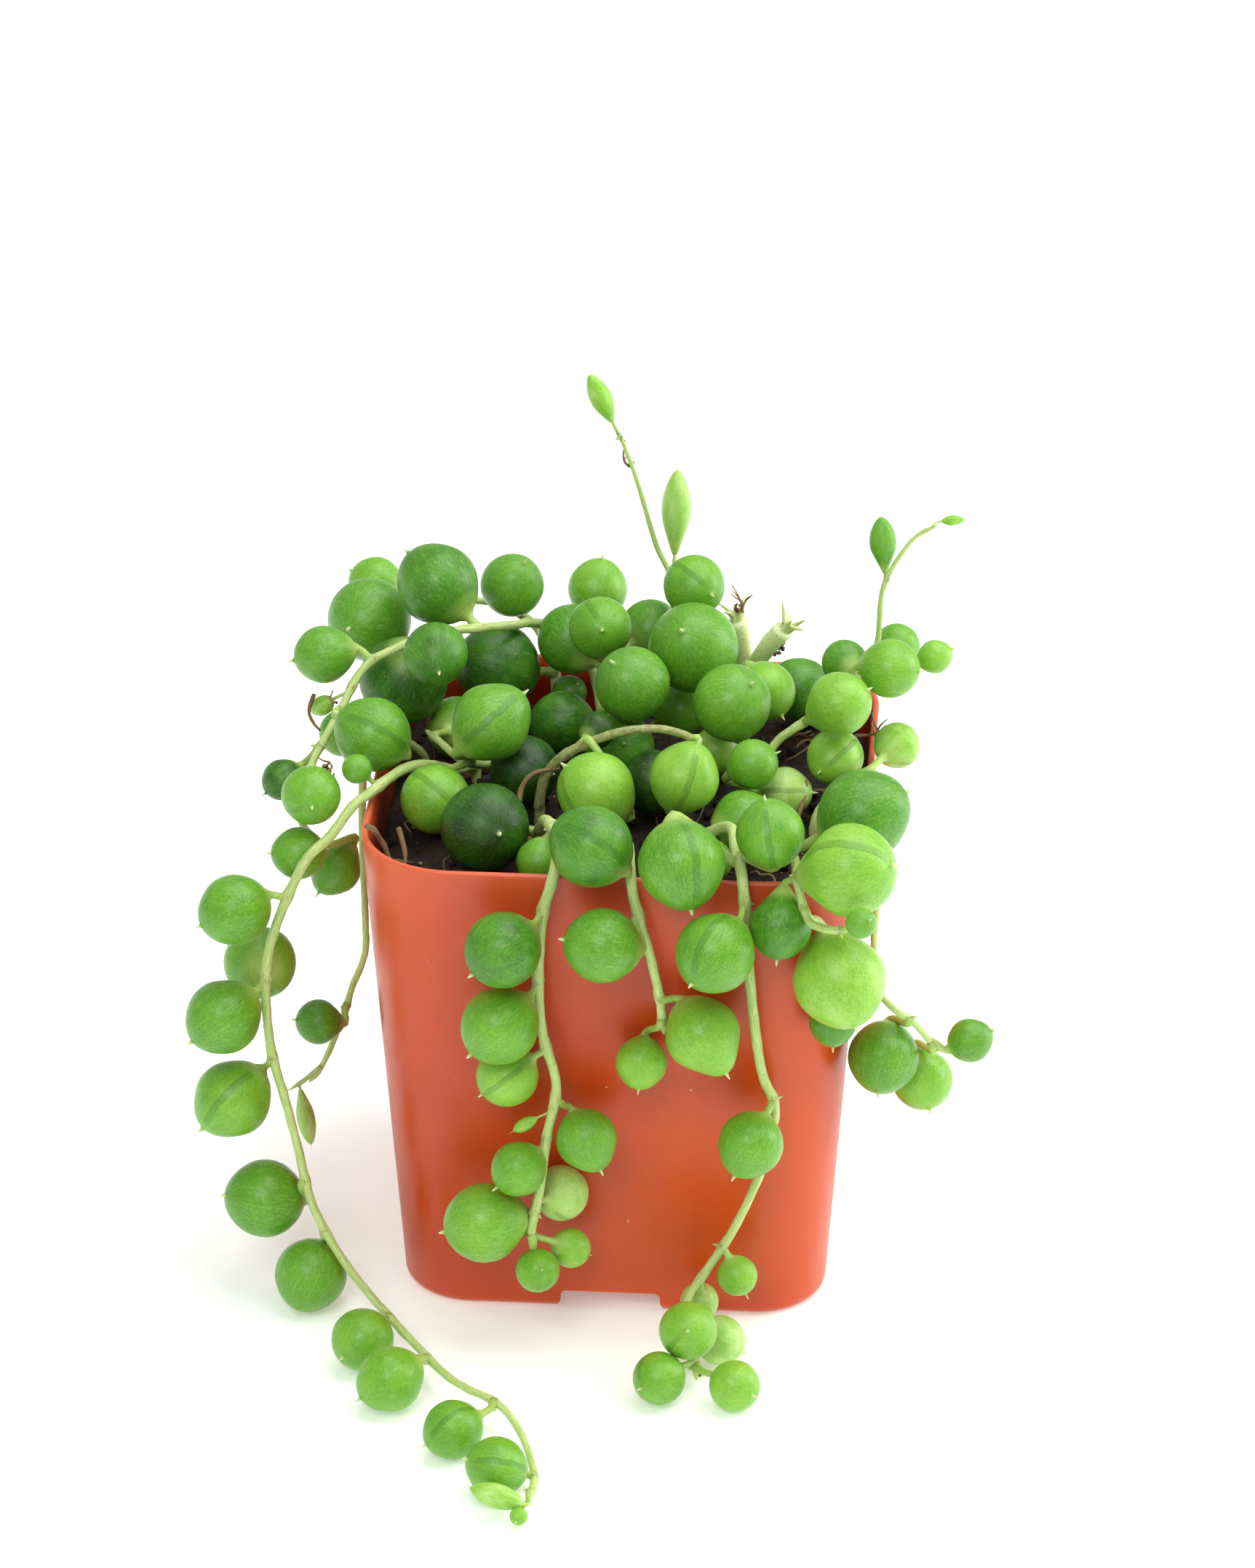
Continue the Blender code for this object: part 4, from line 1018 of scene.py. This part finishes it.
def leaf(build, slot, start, ahead, centre, size, tone, stripe, drawn, tip, stem_radius):
    """One leaf with its stalk: a single skin from the stem to the tip."""
    start, centre = Vector(start), Vector(centre)
    width, length = size
    axis = tip or (centre - start).normalized()
    outline = leaf_shape(length, length > width, *drawn)
    # The window faces the camera where it is known, and anywhere elsewhere.
    view = camera_place - centre
    view = (view - axis * view.dot(axis)).normalized()
    turn = math.radians(rng.uniform(75, 285))
    strength = rng.choice((0.4, 0.6, 0.9))
    if stripe:
        turn = math.radians((stripe - 5) * 16)
        strength = 1.0
    side = view.copy()
    side.rotate(Quaternion(axis, turn))
    up = axis.cross(side)
    base = centre + axis * outline[0][1] * length / 2
    steps = max(4, min(14, round((base - start).length / 0.5)))
    path = stalk_path(start, ahead, base, axis, steps)
    thin = min(STALK_WIDTH, width * 0.085) if width < BROAD_LEAF else BROAD_STALK_WIDTH
    base_radius = outline[0][0] * width / 2
    stalk_radii = []
    for i in range(steps):
        t = i / steps
        radius = lerp(min(thin * 1.5, stem_radius), thin, smoothstep(0, 0.35, t))
        stalk_radii.append(lerp(radius, base_radius * 0.8, smoothstep(0.72, 1.06, t) ** 1.6))
    # The stalk's rings turn as little as possible from the leaf's own, back to the stem.
    frames, turned = [], side
    for i in range(steps - 1, -1, -1):
        along = Vector(path[i + 1] - path[i]).normalized()
        turned = (turned - along * turned.dot(along)).normalized()
        frames.insert(0, (turned, along.cross(turned)))
    rings, unit = [], []
    seed = rng.uniform(0, 50)
    for i in range(steps):
        ring = []
        reach = stalk_radii[i] / (width / 2)
        for cosine, sine, spoke in spokes(*frames[i], LEAF_SIDES):
            ring.append(tuple(Vector(path[i]) + spoke * stalk_radii[i]))
            unit.append((cosine * reach, sine * reach, -1.0 - (steps - i) * 0.08))
        rings.append(ring)
    for radius, height in outline:
        ring = []
        for cosine, sine, spoke in spokes(side, up, LEAF_SIDES):
            swell = 1 + 0.018 * noise.noise(Vector((cosine + seed, sine, height)) * 1.1)
            ring.append(tuple(centre + axis * height * length / 2
                              + spoke * radius * swell * width / 2))
            unit.append((cosine * radius, sine * radius, height))
        rings.append(ring)
    total = len(unit)
    build.loft(rings, slot, leaf_point=unit, tone=[tone] * total, window=[strength] * total)


def frayed_end(build, point, ahead, size):
    """A torn stem end: pale or brown flaps that splay."""
    for flap in range(7):
        away = ahead.orthogonal()
        away.rotate(Quaternion(ahead, flap * 0.9 + rng.uniform(-0.3, 0.3)))
        lean = (ahead + away * rng.uniform(0.3, 0.9)).normalized()
        tip = Vector(point) + lean * size * rng.uniform(1.2, 2.6)
        bend = Vector(point) + (ahead * 0.7 + away * 0.35) * size
        route = smooth_route([np.array(Vector(point) - ahead * 0.3), np.array(bend),
                              np.array(tip)], 0.3)
        radii = [size * share for share in tapered(0.45, 0.06, len(route))]
        tube(build, route, radii, 7, 0, rng.choice((-0.8, -0.5, 0.6)), None, 0.5,
             rng.uniform(0, 9))


def spur(build, point, direction, size):
    """A dry scale at a node."""
    route = [np.array(point), np.array(Vector(point) + direction * size * 0.6),
             np.array(Vector(point) + direction * size + Vector((0, 0, 0.12)))]
    tube(build, route, [0.26, 0.2, 0.03], 7, 0, 0.3, np.full(3, 0.8))


def add_stem(stem, name, number, route, nodes, widest):
    """One route's tube, thicker at its nodes, with its torn end or its spurs."""
    length = len(route)
    radii, marks = [], []
    for i, share in enumerate(tapered(1.0, THIN_END, length)):
        near = max((math.exp(-((i - place) * STEM_STEP / NODE_LENGTH) ** 2) for place in nodes),
                   default=0.0)
        radius = widest * share * (THIN_END if number else 1.0)
        radii.append(radius * (1 + NODE_SWELL * near))
        marks.append(near)
    if name == TORN:
        radii = [max(radius, widest) * share
                 for radius, share in zip(radii, tapered(1.2, 1.8, length))]
        ages = np.linspace(-0.2, -0.9, length)
        frayed_end(stem, route[-1], Vector(route[-1] - route[-3]).normalized(), widest * 2.0)
    else:
        age = AGES.get(name, OTHER_AGE)
        ages = np.clip(np.linspace(age + 0.15, age - 0.1, length), 0, 1)
        for k, share in enumerate(END_SHARES):
            radii[length - 1 - k] *= share
    tube(stem, route, radii, STEM_SIDES, 0, ages, np.array(marks), 0.16, rng.uniform(0, 30))
    for place in nodes:
        if rng.random() < SPUR_CHANCE and 2 < place < length - 3:
            ahead = Vector(route[place + 1] - route[place - 1]).normalized()
            away = ahead.orthogonal()
            away.rotate(Quaternion(ahead, rng.uniform(0, 2 * math.pi)))
            lean = (away + ahead * 0.8).normalized()
            spur(stem, route[place], lean, radii[place] + rng.uniform(0.35, 0.8))


def make_strand(name, strand, leaf_skin, stem_skin):
    diameter, routes, separate, joined = strand
    routes, widest = strand_routes(routes), diameter / 2
    sprouts = SPROUTS.get(name, [])
    rows = separate + joined + sprouts
    tones = TONES[name] + SPROUT_TONE * len(sprouts)
    stripes = STRIPES.get(name, "0" * len(rows)) + "0" * len(sprouts)
    tips = {index: seen_from_front(*share) for index, share in TIPS.get(name, {}).items()}
    starts = []
    for index, row in enumerate(rows, start=1):
        centre = Vector(row[:3])
        if index in tips:
            centre -= tips[index] * max(row[3:]) * 0.35
        starts.append(stalk_start(routes, np.array(centre)))
    stem = Build()
    for number, route in enumerate(routes):
        nodes = [place for owner, place in starts if owner == number]
        add_stem(stem, name, number, route, nodes, widest)
    for index, (row, (number, place)) in enumerate(zip(rows, starts)):
        own = index < len(separate)
        build = Build() if own else stem
        route = routes[number]
        ahead = route[min(place + 1, len(route) - 1)] - route[max(place - 1, 0)]
        size = (row[3], row[4] if len(row) > 4 else row[3])
        tone = int(tones[index]) / 10 + 0.07 + rng.uniform(-0.03, 0.03)
        drawn = (rng.uniform(0.0, 0.6), rng.uniform(0.1, 0.6))
        leaf(build, 0 if own else 1, route[place], Vector(ahead).normalized(), row[:3], size,
             tone, int(stripes[index]), DRAWN_OUT.get((name, index + 1), drawn),
             tips.get(index + 1), widest)
        if own:
            piece = build.make(f"leaf_{name}_{index + 1}", [leaf_skin])
            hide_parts(f"pearl_{name}_{index + 1}")
            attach(piece, "root")
    piece = stem.make(f"strand_{name}", [stem_skin, leaf_skin])
    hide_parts(f"stem_{name}")
    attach(piece, "root")


# --- Camera, light and floor ------------------------------------------------------------------

def make_camera():
    """Adds the camera, and returns its place and its right, up and back directions."""
    data = bpy.data.cameras.new("camera")
    data.lens = LENS
    data.sensor_width = SENSOR
    data.sensor_fit = "AUTO"
    data.clip_start = 0.01
    camera = new_object("camera", data)
    turn = Matrix.Rotation(math.radians(CAMERA_AZIMUTH), 4, "Z")
    elevation = math.radians(CAMERA_ELEVATION)
    back = Vector((0.0, -math.cos(elevation), math.sin(elevation)))
    place = turn @ ((Vector(CAMERA_TARGET) + back * CAMERA_DISTANCE) * MM)
    camera.location = place + FOOT_CENTRE
    camera.rotation_euler = (turn.to_quaternion() @ (-back).to_track_quat("-Z", "Y")).to_euler()
    bpy.context.scene.camera = camera
    axes = camera.rotation_euler.to_matrix()
    return place / MM, axes.col[0].copy(), axes.col[1].copy(), axes.col[2].copy()


def area_light(name, place, size, power):
    data = bpy.data.lights.new(name, "AREA")
    data.shape = "DISK"
    data.size = size
    data.energy = power
    lamp = new_object(name, data)
    lamp.location = Vector(place) + FOOT_CENTRE
    aim = Vector(LIGHT_TARGET) - Vector(place)
    lamp.rotation_euler = aim.to_track_quat("-Z", "Y").to_euler()


def make_studio():
    world = bpy.data.worlds.new("studio")
    world.use_nodes = True
    background = world.node_tree.nodes["Background"]
    background.inputs["Color"].default_value = (1.0, 1.0, 1.0, 1.0)
    background.inputs["Strength"].default_value = WORLD_STRENGTH
    scene = bpy.context.scene
    scene.world = world
    scene.view_settings.view_transform = "Standard"
    for name, (place, size, power) in LIGHTS.items():
        area_light(name, place, size, power)
    n = Nodes("studio_floor")
    point = n.add("ShaderNodeTexCoord").outputs["Object"]
    tint = n.ramp(n.noise(point, 6.0, 2.0), (0.3, (0.91, 0.97, 0.945)),
                  (0.7, (0.93, 0.98, 0.955)))
    material = n.finish(Base_Color=tint, Roughness=0.8, Specular_IOR_Level=0.2,
                        Emission_Color=(1.0, 1.0, 0.95, 1.0), Emission_Strength=0.27)
    half = FLOOR_HALF
    corners = [(-half, -half, 0), (half, -half, 0), (half, half, 0), (-half, half, 0)]
    floor = add_object("floor", corners, [(0, 1, 2, 3)], [material])


# --- Assembly ---------------------------------------------------------------------------------

camera_place, camera_right, camera_up, camera_back = make_camera()
make_studio()
leaf_skin, stem_skin, dry = leaf_material(), stem_material(), litter_material()
peat = soil_material()
make_pot(pot_material())
make_soil(peat)
make_litter(dry, peat)
for strand_name, strand_table in STRANDS.items():
    make_strand(strand_name, strand_table, leaf_skin, stem_skin)
